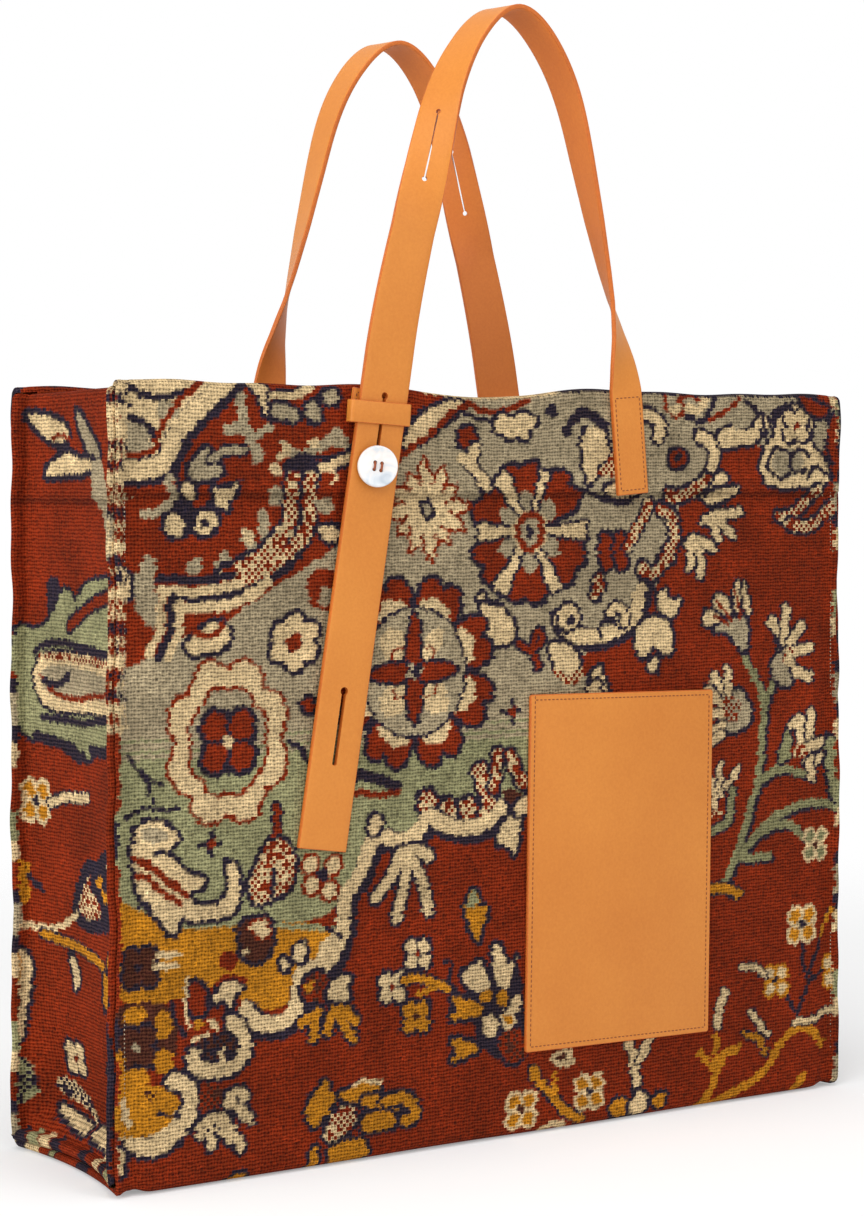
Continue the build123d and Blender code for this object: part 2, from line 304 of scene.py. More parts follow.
def draw_rosettes():
    """Five flowers of the medallion, and the small signs between them."""
    # Large flower: six rust petals and six cream spokes
    middle = (12.5, 307.5)
    heart = ((11, -3), (20, -8), (29, -12), (36, -9), (35, -3), (32, 0), (37, 4), (34, 11), (27, 12), (19, 7),
             (11, 3))
    for turn in (100, 44, -34, -93, -148, 151):
        petal("rust", middle, turn, heart, rim_width=3)
        petal("khaki", middle, turn, ((9, -4), (17, -6), (23, 0), (17, 6), (9, 4)), rim="rust", rim_width=0.8)
    for turn, reach, wide in ((0, 37, 6), (180, 33, 6), (122, 37, 6), (74, 34, 3.6), (-62, 36, 5),
                              (-122, 38, 6)):
        petal("cream", middle, turn, ((6, -1), (reach * 0.5, -wide * 0.35), (reach, -wide * 0.9),
                                      (reach * 0.92, 0), (reach, wide * 0.9), (reach * 0.5, wide * 0.35),
                                      (6, 1)), rim_width=2)
    spot("cream", *middle, 11)
    spot("rust", *middle, 9.5, 11)
    spot("khaki", *middle, 5.5, 7.5)
    spot("navy", *middle, 2.2, 4)
    # Cross flower: rust cross in a ring, with rust and cream scallops outside
    middle = (-57.5, 238)
    turns = (22, 67, 112, 157, 202, 247, 292, 337)
    bell = ((28, -9), (36, -13), (46, -11), (48, -4), (43, -1), (43, 1), (48, 4), (46, 11), (36, 13), (28, 9))
    for turn in turns:
        petal("rust", middle, turn, bell, rim_width=2.6)
    for turn in turns:
        petal("cream", middle, turn, ((28, -9), (35, -9), (37, -3), (40, 2), (36, 6), (35, 10), (28, 9)),
              rim="rust", rim_width=1)
    spot("navy", *middle, 31.5, 33)
    spot("khaki", *middle, 29.8, 31.3)
    for x, z, turn in around(*middle, 17, (130, 228, 312)):
        spot("cream", x, z, 10, 7.5, turn)
    spot("cream", middle[0] + 12, middle[1] + 15, 7, 5, 60)
    for x, z, turn in around(*middle, 12, (45, 135, 225, 315)):
        spot("cream", x, z, 3.2, rim="rust", rim_width=1.4)
    for turn, wide, far in ((0, 4.6, 26), (90, 3.8, 29), (180, 4.6, 26), (270, 4.2, 26)):
        arm = ((3, -wide), (far * 0.55, -wide), (far * 0.85, -wide * 0.6), (far, 0), (far, 0),
               (far * 0.85, wide * 0.6), (far * 0.55, wide), (3, wide))
        petal("rust", middle, turn, arm, rim_width=2)
    patch("khaki", (-62, 242), (-53, 242), (-53, 234), (-62, 234), other="navy")
    # Ring flower: cream lobed band with a rust line on both sides, round four rust petals
    middle = (-162, 209)
    ground = cartoon["yarn"].copy()
    patch("cream", *lobed(middle, 30, 6.6, 8), rim="rust", rim_width=2)
    patch("rust", *lobed(middle, 23, 2.4, 8))
    inside = within(lobed(middle, 21, 2.4, 8))
    cartoon["yarn"][inside] = ground[inside]
    for rim, size in (("navy", 10), ("rust", 7)):
        for x, z, turn in around(*middle, 10, (45, 135, 225, 315)):
            spot(rim, x, z, size - 0.6, size)
    line("navy", 2.2, (-162, 224), (-162, 194))
    line("navy", 1.8, (-176, 209), (-148, 209))
    spot("cream", *middle, 2.6, 3.4)
    # Star flower and the small six-petal flower
    middle = (-49.5, 319)
    for number, turn in enumerate(range(5, 365, 30)):
        far = (26, 21, 24)[number % 3]
        petal("cream", middle, turn, ((4, -2), (far * 0.6, -4.4), (far, 0), (far, 0), (far * 0.6, 4.4),
                                      (4, 2)), rim="rust", rim_width=1.8)
    spot("cream", *middle, 12, 13)
    spot("navy", *middle, 4.5, 6)
    spot("khaki", *middle, 2, 3.4)
    middle = (-125.5, 255)
    for x, z, turn in around(*middle, 9, (30, 90, 150, 210, 270, 330)):
        spot("navy", x, z, 7.4)
    for x, z, turn in around(*middle, 9, (30, 90, 150, 210, 270, 330)):
        spot("cream", x, z, 4.8)
    spot("rust", *middle, 4.4)
    # Small signs in the field
    for x, z in ((-171, 161), (1, 216)):
        line("navy", 3, (x - 5.5, z), (x + 5.5, z))
        line("navy", 3, (x, z - 5.5), (x, z + 5.5))
        spot("rust", x + 1, z, 2.4)
    spot("rust", -118, 224, 3.4, 3.4, rim="navy")
    line("navy", 3.4, (-128, 207), (-122, 203), (-118, 197))
    leaf("rust", (-31, 352), (-31, 362), (-24, 364), (-20, 358), (-23, 352))
    line("cream", 5.5, (-21, 352), (-25, 344), (-19, 338), (-14, 331), rim=1.6)
    spot("cream", -29, 346, 4, 3)
    line("navy", 6, (35, 358), (40, 366), (47, 369), (54, 365), (60, 361))
    line("khaki", 2, (41, 362), (47, 364), (52, 361))
    for x in (60, 69.5):
        leaf("rust", (x - 3.4, 287), (x - 3.8, 296), (x - 3, 306), (x + 3, 306), (x + 3.8, 296),
             (x + 3.4, 287))
    spot("rust", 55, 278, 3.6, 7, -15, rim="navy", other="cream")
    leaf("rust", (101, 350), (112, 349), (113, 340), (102, 341))
    spot("navy", 107, 345.5, 2.6)
    line("rust", 5.5, (89, 321), (82, 310), (74, 299), rim=1.6, other="cream")
    line("navy", 2.2, (-214, 205), (-208, 197), (-197, 190))
    line("navy", 2.2, (-207, 198), (-202, 183))
    line("navy", 6, (-92, 189), (-80, 187), (-68, 182))
    line("rust", 3.4, (-92, 181), (-78, 178), (-66, 179))
    leaf("rust", (-148, 130), (-151, 140), (-146, 152), (-137, 162), (-128, 159), (-125, 148), (-127, 137),
         (-136, 132), other="cream")
    line("navy", 2.8, (-138, 130), (-137, 146))
    line("rust", 3.6, (-136, 163), (-135, 176), rim=1.4)
    for x, z in ((-117, 147), (-104, 146), (-116, 137), (-106, 134)):
        spot("cream", x, z, 4, rim="rust", rim_width=2)
    spot("navy", -110, 142, 3.4)


def draw_top_edge():
    """Scrolls along the top edge, from the left handle to the right corner."""
    leaf("cream", (-66, 348), (-60, 361), (-50, 370), (-36, 377), (-27, 377), (-31, 371), (-42, 363),
         (-52, 354))
    line("rust", 3, (-70, 343), (-57, 351), (-46, 360), (-36, 370), (-26, 376))
    line("rust", 3.6, (-26, 377), (-15, 371), (0, 373), (11, 378))
    line("navy", 3, (-27, 371), (-15, 366), (0, 370), (10, 366))
    leaf("cream", (-12, 364), (-5, 372), (2, 367), (8, 372), (18, 366), (12, 362), (10, 355), (4, 359),
         (0, 356))
    spot("navy", 26, 370, 4, 4)
    leaf("cream", (44, 356), (51, 361), (56, 362), (61, 354), (62, 346), (55, 340), (49, 329), (46, 340))
    patch("rust", (52, 336), (60, 341), (64, 351), (69, 350), (69, 334), other="cream")
    line("navy", 2.6, (44, 329), (55, 325), (65, 321), (78, 322))
    leaf("cream", (58, 330), (76, 333), (84, 328), (76, 325), (64, 324))
    line("cream", 6, (82, 369), (91, 367), (97, 361), (94, 356), rim=2.2)
    line("rust", 2.6, (99, 378), (100, 370), (109, 366), (113, 372), (106, 376), (116, 379), (123, 376))
    spot("cream", 106, 371, 4, 3)
    line("navy", 3.6, (113, 367), (124, 364), (130, 372), (133, 381))
    line("cream", 5, (114, 372), (122, 370), (126, 378))
    line("rust", 3, (129, 366), (140, 370), (149, 377))
    leaf("cream", (131, 356), (145, 364), (155, 358), (164, 370), (170, 364), (161, 354), (148, 352),
         (136, 350))
    patch("khaki", (141, 363), (150, 373), (158, 369), (152, 359))
    line("navy", 3, (153, 376), (160, 373), (166, 366), (164, 358))
    line("cream", 6.4, (122, 357), (130, 354), (132, 344), (130, 332), (125, 327), rim=2.2)
    # Carnation in the upper right corner
    leaf("cream", (163, 343), (168, 353), (176, 359), (172, 368), (181, 374), (196, 373), (201, 362),
         (196, 355), (206, 348), (214, 339), (211, 330), (198, 331), (180, 329), (166, 332))
    patch("khaki", (170, 346), (180, 352), (190, 350), (196, 342), (188, 335), (174, 336))
    for x, z, size in ((177, 343, 8.5), (191, 344, 6.5)):
        ring = [(x + size * math.cos(a), z + size * math.sin(a)) for a in np.linspace(0.4, 5.6, 9)]
        line("navy", 2.6, *ring)
    blossom(188.5, 363, 6, 4.2, "cream", heart="rust", rim="navy")
    line("navy", 2.8, (172, 362), (176, 370), (182, 375))
    line("navy", 2.8, (196, 335), (204, 343), (212, 336))
    leaf("rust", (189, 381), (200, 376), (213, 373), (208, 367), (196, 371))
    leaf("rust", (212, 369), (226, 371), (226, 344), (216, 342), (211, 352))
    patch("cream", (211, 381), (226, 384), (226, 372), (214, 373))
    patch("khaki", (204, 363), (211, 364), (210, 356), (203, 352))


def draw_border_scrolls():
    """Checked and cream scrolls that close the medallion, from the upper right down to the lower left."""
    spray("rust", 6, ((126, 334), (119, 328), (110, 324), (102, 326)),
          ((96, 318), (103, 316), (106, 304), (102, 294)), ((104, 300), (96, 288), (89, 282), (83, 288)),
          rim=2.5, other="cream")
    line("navy", 13, (30, 262), (40, 252), (55, 250), (70, 254), (80, 262), (86, 276))
    line("cream", 7.6, (30, 262), (40, 253), (55, 252), (70, 256), (79, 263), (83, 276))
    spot("cream", 36, 263, 6.5, 6.5, rim="navy")
    spot("navy", 37, 261, 3)
    line("cream", 4.6, (62, 263), (66, 268), (72, 266), (72, 259), rim=1.8)
    line("navy", 2.4, (58, 252), (56, 259), (62, 262), (66, 258))
    leaf("cream", (-20, 279), (-12, 271), (-4, 268), (2, 260), (4, 252), (-8, 249), (-15, 258))
    line("navy", 2.6, (-20, 273), (-12, 271), (-6, 273))
    line("rust", 3, (6, 250), (14, 246), (22, 252), (17, 258), (14, 246), (18, 238), rim=2)
    leaf("cream", (25, 250), (33, 250), (42, 246), (44, 236), (36, 230), (26, 240))
    line("rust", 5, (30, 236), (36, 229), (44, 234), other="cream")
    leaf("cream", (47, 226), (52, 234), (58, 238), (58, 228), (64, 224))
    for x, z, size in ((-49, 172, 5.5), (-37, 168, 4.5), (-25, 167, 5.5)):
        spot("rust", x, z, size, size + 1, rim="navy", rim_width=3, other="cream")
    line("rust", 8, (-19, 187), (-13, 176), (-11, 166), (-16, 164), rim=2.2, other="cream")
    line("rust", 6, (-8, 195), (-9, 178), rim=2.2, other="cream")
    line("rust", 6, (0, 194), (4, 185), (9, 179), rim=2.2, other="cream")
    patch("umber", (-6, 176), (4, 178), (10, 168), (-2, 164))
    scroll = ((-6, 168), (-14, 160), (-28, 158), (-40, 161), (-50, 168), (-54, 158), (-66, 154), (-78, 160),
              (-86, 150), (-88, 141), (-98, 131), (-98, 120), (-101, 104), (-110, 97), (-123, 97), (-123, 84),
              (-127, 75), (-136, 71), (-147, 74), (-152, 81))
    line("navy", 12.5, *[(x + 1.5, z - 2) for x, z in scroll])
    line("cream", 7.4, *scroll)
    patch("cream", (-112, 108), (-104, 116), (-97, 116), (-98, 102), (-112, 97))
    line("navy", 2.6, (-108, 116), (-103, 113), (-100, 110))
    for x, z, size in ((-80, 164, 3.8), (-122, 105, 3.6), (-131, 100, 2)):
        spot("cream", x, z, size, size + 1, rim="navy", rim_width=2.4)
    patch("umber", (-184, 66), (-166, 74), (-156, 66), (-160, 54), (-178, 54), other="navy")
    line("cream", 6.4, (-160, 76), (-152, 69), (-153, 58), (-162, 53), (-173, 53.4), (-181, 58), (-180, 63),
         rim=2.4)
    line("cream", 3, (-166, 56), (-165, 62))
    line("cream", 2, (-180, 70), (-172, 71))
    line("cream", 7.4, (-191, 51), (-183, 49), (-181, 39), (-188, 27), (-198, 21), (-209, 22), (-214, 30),
         rim=2.6)
    # Acanthus at the left edge
    leaf("cream", (-211, 165), (-208, 173), (-199, 174), (-190, 168), (-188, 163), (-195, 159), (-188, 153),
         (-186, 149), (-175, 146), (-174, 141), (-184, 141), (-181, 134), (-172, 131), (-163, 134),
         (-161, 143), (-164, 152), (-158, 151), (-155, 140), (-157, 128), (-166, 125), (-183, 126),
         (-187, 130), (-190, 117), (-198, 128), (-206, 136), (-210, 146))
    patch("khaki", (-206, 171), (-199, 171), (-192, 166), (-200, 163), (-208, 165))
    line("navy", 2.4, (-200, 159), (-194, 159), (-188, 154))
    for x, z in ((-210, 157), (-206, 153), (-209, 149)):
        line("rust", 3, (x, z), (x + 6, z - 2), (x + 12, z - 9), (x + 22, z - 15))
    line("navy", 2.4, (-214, 176), (-204, 181), (-194, 178), (-187, 179))
    line("navy", 2.2, (-208, 135), (-203, 135), (-202, 130))
    # Leaves that hang from the scroll on the rust field
    spray("cream", 5.4, ((-66, 148), (-71, 137), (-80, 128)), ((-62, 147), (-63, 132), (-68, 117)),
          ((-60, 147), (-52, 133), (-49, 119)), ((-66, 149), (-56, 150), (-49, 146)))
    leaf("cream", (-10, 149), (-5, 158), (3, 166), (9, 165), (5, 154), (3, 141), (0, 148))


def draw_left_garden():
    """Lower left: flowers and leaves on mustard and rust."""
    blossom(-208, 106, 6, 4.6, "umber", rim="navy")
    for z in (111, 106):
        line("cream", 3, (-200, z), (-195, z - 0.5), (-189, z - 1))
    spot("rust", -161, 105, 5)
    leaf("umber", (-157, 120), (-150, 124), (-139, 124), (-138, 112), (-140, 103), (-154, 104))
    leaf("cream", (-151, 121), (-146, 123), (-140, 121), (-140, 113), (-146, 115), rim="rust", rim_width=1.6)
    spot("cream", -152, 108, 2.2, 1.6)
    patch("umber", (-226, 90), (-193, 90), (-188, 76), (-189, 58), (-226, 58))
    line("navy", 2.6, (-191, 88), (-190, 78), (-184, 72))
    leaf("rust", (-183, 98), (-176, 96), (-173, 88), (-174, 80), (-182, 82))
    line("cream", 1.8, (-184, 99), (-184.5, 88), (-183, 76))
    leaf("cream", (-170, 84), (-168, 92), (-160, 96), (-153, 92), (-158, 89), (-160, 81), (-164, 88))
    line("rust", 2, (-168, 95), (-160, 98.5), (-152, 94))
    leaf("cream", (-174, 78), (-169, 78), (-165, 72), (-170, 73), rim="rust", rim_width=1.4)
    spot("mustard", -178, 77, 2.6)
    blossom(-209, 69, 6, 4.8, "umber", heart="khaki", rim="navy")
    for x, z, across, up in ((-210, 84, 6, 4), (-196, 78, 4.4, 7), (-196, 61, 5, 6), (-211, 54, 8, 5),
                             (-220, 62, 4, 8)):
        spot("mustard", x, z, across, up)
    patch("mustard", (-226, 50), (-204, 52), (-192, 46), (-186, 40), (-190, 31), (-204, 26), (-226, 30))
    patch("umber", (-206, 50), (-200, 49), (-199, 43), (-205, 43), other="mustard")
    line("cream", 4, (-216, 44), (-214, 34))
    patch("cream", (-190, 38), (-182, 34), (-190, 24), (-200, 20), (-206, 26), (-194, 30))
    line("navy", 2.2, (-198, 37), (-192, 35), (-189, 33), (-187, 40))
    patch("cream", (-220, 24), (-215, 22), (-216, 10), (-220, 12), rim="navy", rim_width=3)
    patch("umber", (-178, 48), (-164, 48), (-164, 33), (-177, 34), other="rust")
    # Cream fern and hook below
    spray("cream", 4.4, ((-176, 24), (-177, 29), (-170, 32), (-162, 29), (-155, 15)),
          ((-171, 31), (-171, 18)), ((-166, 30), (-162, 20)),
          ((-162, 37), (-161, 42), (-154, 42), (-153, 38)), ((-160, 38), (-157, 34), (-150, 28)))
    # Mustard palmettes on the rust field
    patch("umber", (-122, 92), (-108, 96), (-104, 80), (-120, 80), other="rust", rim="navy")
    spray("mustard", 4.6, ((-103, 79), (-107, 66)), ((-103, 79), (-98, 68), (-93, 61)),
          ((-101, 79), (-91, 69)), ((-113, 75), (-121, 71)), ((-113, 75), (-115, 63)))
    leaf("cream", (-108, 83), (-101, 93), (-92, 90), (-97, 87), (-93, 80), (-104, 80))
    spot("mustard", -117, 88, 2.6)
    for shape in (((-119, 33), (-112, 37), (-109, 44), (-106, 38), (-103, 31), (-110, 23), (-116, 18),
                   (-119, 26)),
                  ((-104, 33), (-94, 37), (-84, 38), (-76, 35), (-82, 31), (-90, 29), (-98, 31)),
                  ((-90, 30), (-82, 32), (-70, 29), (-60, 24), (-70, 22), (-84, 24)),
                  ((-90, 19), (-82, 24), (-70, 22), (-68, 13), (-78, 14), (-86, 13)),
                  ((-108, 9), (-98, 12), (-88, 11), (-82, 4), (-90, -3), (-104, -3)),
                  ((-116, 12), (-112, 8), (-113, -4), (-118, -4))):
        leaf("mustard", *shape, rim_width=2.2)
    spot("rust", -100, 20, 10.5, 6, 40, rim="navy", other="cream")
    line("cream", 2, (-92, 38), (-84, 39), (-76, 37))
    line("mustard", 5.4, (-74, 27), (-66, 29), (-57, 24), (-58, 16), (-63, 17), rim=2.2)
    spot("mustard", -156, -2, 5, 5, rim="navy")


def draw_middle_garden():
    """Lower middle: the small blossoms, the bud and the large open flower beside the pocket."""
    leaf("mustard", (-28, 118), (-23, 128), (-19, 126), (-19, 118), (-13, 118), (-17, 108), (-18, 99),
         (-25, 110))
    patch("sage", (-27, 119), (-22, 129), (-19, 125), (-20, 118))
    blossom(-55, 98, 5.2, 3.4, "cream", heart="rust", rim="navy")
    blossom(-70, 83, 5.2, 3.6, "cream", heart="rust", rim="navy")
    blossom(-56, 67, 5.4, 3.8, "mustard", heart="umber", rim="navy")
    line("mustard", 4, (-63, 86), (-52, 86), (-44, 82), (-35, 78), rim=1.4)
    line("mustard", 3, (-55, 78), (-44, 81))
    line("navy", 2.4, (-40, 92), (-36, 93), (-35, 87), (-38, 82), (-33, 77))
    patch("navy", (-40, 66), (-30, 78), (-8, 78), (6, 92), (10, 60), (12, 40), (2, 33), (-10, 42), (-22, 50),
          (-20, 60))
    leaf("cream", (-31, 86), (-22, 89), (-19, 93), (-14, 84), (-11, 77), (-22, 75))
    leaf("cream", (-12, 98), (-7, 100), (-3, 89), (2, 88), (4, 93), (1, 81), (-1, 76), (-8, 76))
    leaf("mustard", (-37, 76), (-28, 73), (-18, 71), (-15, 64), (-26, 63), (-38, 63), (-30, 69))
    spot("mustard", -14, 73, 4, 3.4)
    spot("mustard", -4, 71, 3.4, 4.4)
    spot("cream", -12, 58, 4.6, 6)
    spot("cream", -1, 60, 4.6, 5)
    spot("mustard", -1, 60, 2.6, 2.6)
    spot("cream", 4, 67, 3.2, 5, -30)
    patch("umber", (-8, 52), (2, 56), (9, 52), (12, 42), (2, 36), (-6, 42), other="rust")
    leaf("mustard", (-37, 54), (-28, 53), (-17, 47), (-27, 44), (-38, 41), (-31, 47))
    blossom(7, 13, 6.4, 5.6, "cream", inner="mustard", heart="umber")
    blossom(49.5, 17, 6.2, 5.4, "cream", inner="mustard", heart="navy")
    patch("cream", (25, 41), (40, 41), (40, 31), (26, 32))
    patch("umber", (29, 39), (36, 39), (36, 35), (29, 35))
    line("mustard", 4.6, (13, 33), (20, 24), (28, 16), (35, 8), (44, 4), rim=1.4)
    line("mustard", 3, (28, 29), (28, 18))
    line("cream", 4, (20, 1), (30, 4), (34, 0))
    spot("mustard", 69, 6, 6, 5, rim="navy")


def draw_right_garden():
    """Right and lower right: stems with tulips on the rust field, and the mustard vine."""
    # Cream petals above
    leaf("cream", (131, 335), (138, 338), (141, 333), (139, 330), (132, 330))
    leaf("cream", (126, 326), (140, 329), (151, 330), (140, 322), (128, 320))
    sprays = (((125, 312), (134, 315), (149, 316)), ((130, 314), (134, 302)), ((135, 312), (144, 304)),
              ((114, 300), (120, 303), (131, 297)), ((117, 301), (115, 287)), ((121, 302), (123, 283)))
    spray("cream", 4.6, *sprays, rim=1.8)
    line("rust", 5, (176, 314), (188, 315), (200, 325), (206, 329), rim=2.2, other="cream")
    line("rust", 6, (184, 310), (195, 307), (206, 312), (220, 321), rim=2.2, other="cream")
    leaf("cream", (93, 271), (100, 277), (102, 270), (111, 271), (104, 261), (96, 263))
    leaf("cream", (80, 258), (80, 242), (86, 240), (91, 248), (96, 242), (104, 242), (104, 258), (92, 262))
    spot("cream", 91.5, 236, 3, 3.6, rim="navy")
    # Stems
    stems = (((152, 240), (158, 230), (164, 220), (166, 208), (164, 195), (164, 180), (161, 168), (157, 158),
              (151, 142), (146, 130), (139, 117)),
             ((150, 132), (158, 140), (167, 148), (180, 154), (196, 157), (212, 157), (224, 148)),
             ((164, 143), (175, 147), (185, 147), (193, 139)),
             ((162, 170), (171, 175), (181, 178), (190, 174), (197, 173)), ((166, 212), (172, 224)),
             ((150, 130), (170, 130)))
    for run in stems:
        line("navy", 5, *[(x + 2, z - 1.6) for x, z in run])
    for run in stems:
        line("stem", 4.4, *run)
    leaf("stem", (211, 194), (217, 191), (226, 186), (226, 150), (214, 160), (212, 175))
    # Tulip at the top of the main stem
    leaf("khaki", (129, 252), (140, 253), (148, 246), (151, 239), (156, 247), (155, 259), (144, 260))
    for shape in (((124, 265), (131, 263), (139, 258), (124, 255)),
                  ((129, 270), (140, 273), (144, 262), (136, 261)),
                  ((146, 281), (150, 276), (149, 261), (145, 263)),
                  ((151, 282), (156, 271), (156, 260), (152, 262))):
        leaf("cream", *shape, rim_width=2)
    for run in (((131, 261), (142, 256)), ((134, 268), (143, 258)), ((147, 274), (149, 258))):
        line("rust", 2, *run)
    # Tulips at the right
    leaf("khaki", (174, 250), (178, 243), (173, 235), (170, 229), (178, 222), (185, 222), (186, 230))
    strokes("cream", 5.4, 1.6, ((171, 257), (178, 250), (181, 243)), ((181, 264), (181, 246)),
            ((193, 254), (185, 245)), ((198, 242), (187, 240)), ((198, 226), (188, 229), (186, 234)))
    spot("rust", 183.5, 238, 3.6, 5, other="cream")
    leaf("stem", (182, 200), (185, 195), (185, 182), (175, 179), (177, 187), rim_width=1.8)
    strokes("cream", 5.6, 1.6, ((186, 201), (192, 204), (192, 190)), ((199, 206), (198, 191)),
            ((207, 190), (196, 187)), ((206, 181), (197, 180)), ((200, 171), (199, 180)))
    spot("rust", 191, 186, 6, 4, other="cream")
    # Open flower beside the pocket
    leaf("khaki", (137, 220), (148, 221), (156, 215), (157, 206), (152, 199), (141, 198), (138, 205))
    strokes("cream", 4.8, 1.2, ((127, 222), (137, 213)), ((131, 229), (138, 220)), ((141, 232), (141, 220)),
            ((127, 209), (138, 208)), ((128, 199), (137, 202)), ((130, 194), (137, 197)))
    patch("rust", (137, 218), (150, 217), (149, 205), (139, 203), other="khaki")
    strokes("cream", 3.6, 1.2, ((136, 181), (136, 165)), ((149, 178), (140, 169)), ((130, 173), (133, 159)))
    spot("rust", 134, 155, 3.4, 3, other="cream")
    line("stem", 4.4, (144, 167), (143, 150), (130, 146), rim=1.4)
    blossom(203, 134, 6.4, 5, "cream", inner="stem", heart="umber")
    # Flowers that go on under the pocket
    line("cream", 7, (6, 166), (26, 178), (44, 202), (53, 226), rim=2.2)
    spray("stem", 4, ((70, 60), (74, 90), (68, 118), (76, 146)), ((72, 92), (88, 104), (98, 120)),
          ((70, 112), (54, 122), (46, 138)))
    for x, z in ((76, 160), (102, 132), (42, 150)):
        petals = [(5, -3), (13, -6), (17, 0), (13, 6), (5, 3)]
        for turn in range(0, 360, 60):
            petal("cream", (x, z), turn, petals, rim_width=2)
        spot("rust", x, z, 5, other="cream")
    blossom(46, 84, 6.4, 5.4, "cream", inner="mustard")
    blossom(104, 72, 6.4, 5.4, "cream", inner="mustard")
    # Mustard vine and blossoms at the bottom right
    line("mustard", 5, (128, 115), (140, 115), (148, 111), rim=1.6)
    line("navy", 2.8, (193, 80), (194, 68), (198, 60), (192, 48), (187, 37))
    line("navy", 2.8, (214, 97), (205, 78), (198, 64))
    line("mustard", 2.6, (218, 100), (213, 94), (208, 84))
    line("navy", 2.8, (181, 56), (187, 45))
    line("navy", 2.8, (209, 65), (199, 60))
    blossom(193, 91, 6.8, 6, "cream", inner="mustard", heart="navy")
    blossom(174.5, 62, 6, 5, "mustard", inner="cream", heart="navy")
    blossom(219, 63, 6.4, 5.4, "mustard", inner="cream", heart="navy")
    line("cream", 3.2, (151, 71), (160, 72), (167, 66), rim=1.2)
    line("mustard", 4.8, (120, -3), (140, 3), (155, 8), (166, 14), (173, 21), (181, 32), (190, 36), (203, 31),
         (208, 24))
    line("cream", 3.4, (188, 38), (203, 38), (207, 41.5), (226, 42), rim=1.1)
    line("mustard", 5, (122, 0), (130, 8), (134, 20), (140, 27), (148, 28))
    line("mustard", 4, (132, 18), (127, 24), (122, 29))
    line("mustard", 4, (133, 20), (133, 36))
    line("cream", 5, (139, 59), (135, 50), (134, 42), rim=1.2)
    line("mustard", 3.4, (153, 35), (162, 33), (167, 24), rim=1.4)
    line("cream", 3.4, (157, 47), (164, 38), (168, 34), rim=1.4)
    line("cream", 5, (74, 42), (79, 30), (80, 16), rim=1.6)
    line("cream", 5, (90, 42), (82, 30), rim=1.2)
    leaf("cream", (74, 5), (79, 12), (81, 15), (88, 9), (85, 2), (78, 1))
    spot("mustard", 95, 7, 4.5, 3.4, 40, rim="navy")
    line("mustard", 5, (188, 2), (194, 8))
    patch("cream", (212, 3), (226, 10), (226, -2))


def edge_bands(part):
    """Bands of several yarns along a turned edge."""
    bands = (("cream", 12), ("navy", 9), ("khaki", 16), ("navy", 7), ("rust", 14), ("cream", 10),
             ("sage", 15), ("rust", 22))
    low, turn = -20.0, 0
    while low < 390:
        yarn, rise = bands[turn % len(bands)]
        lay(yarn, part & (cartoon["z"] > low) & (cartoon["z"] < low + rise))
        low, turn = low + rise, turn + 1


def fray_edge(part):
    """Loose ends of pale and dark yarn along a cut edge, the most of them at the top."""
    x, z = cartoon["x"], cartoon["z"]
    fray = np.sin(z / 1.7) + np.sin(z / 4.3) + 0.9 * np.sin(x * 1.9 + z / 2.3)
    lay("cream", part & (fray > np.interp(z, (230, 330, 345), (0.4, 0.4, -0.5))))
    lay("navy", part & (fray < -1.2))


def draw_front():
    """The whole front, and the base and the hem that go on from it."""
    draw_medallion()
    draw_corner_field()
    draw_top_edge()
    draw_border_scrolls()
    draw_rosettes()
    draw_left_garden()
    draw_middle_garden()
    draw_right_garden()
    z, x = cartoon["z"], cartoon["x"]
    lay("navy", (z > 378.6) & (z < 384) & (x > 32) & (x < 206))
    lay("cream", (z > 379) & (z < 388) & (x > -52) & (x < 30))
    band = np.sin(z / 7) + np.sin(z / 17 + 1)
    lay("rust", (x < -218.6) & (band > -0.6))
    lay("navy", (x < -218.6) & (band < -1.1))
    fray_edge((x < -214.8) & (z > 215))
    edge_bands(x > 216.6)
    lay("navy", (x > 217.4) & (z > 346))
    for height in (-30, 405):
        for place in range(-190, 200, 76):
            blossom(place, height, 7, 5, "mustard", inner="cream", heart="navy")
            run = ((place + 14, height + 4), (place + 36, height - 4), (place + 60, height + 4))
            line("stem", 3.6, *run, rim=1.4)


def yarn_and_crease_shade(seed, crease_height):
    """Light of every knot: its yarn, the slow change of the dye from row to row, each tuft's own shade,
    and a painted shade along the crease below the hem."""
    chance = np.random.default_rng(seed)
    rows, columns = cartoon["yarn"].shape
    table = np.array([dye(*shade) for shade in yarn_dyes.values()])
    colours = table[cartoon["yarn"]]
    lot = np.convolve(chance.normal(0, 1, rows + 40), np.hanning(41) / 6, "valid")[:rows, None]
    tuft = np.kron(chance.normal(1, 0.15, (rows // 2, columns // 2)), np.ones((2, 2))) * (1 + 0.07 * lot)
    strand = chance.normal(1, 0.12, (rows, columns))
    # Painted shade: the knots along the crease below the hem are darkened, as if shade falls there.
    crease = 1 - 0.45 * np.exp(-((cartoon["z"] - crease_height) / 1.7) ** 2)
    return np.clip(colours * (tuft * strand * crease)[..., None], 0.002, 0.95)


def flat_grid(name, columns, rows):
    """Flat cut with one face for each knot or step, and its places from -1 to 1."""
    bpy.ops.object.select_all(action="DESELECT")
    bpy.ops.mesh.primitive_grid_add(x_subdivisions=columns, y_subdivisions=rows, size=2)
    cut = bpy.context.object
    cut.name = cut.data.name = name
    return cut, get_points(cut) * mm


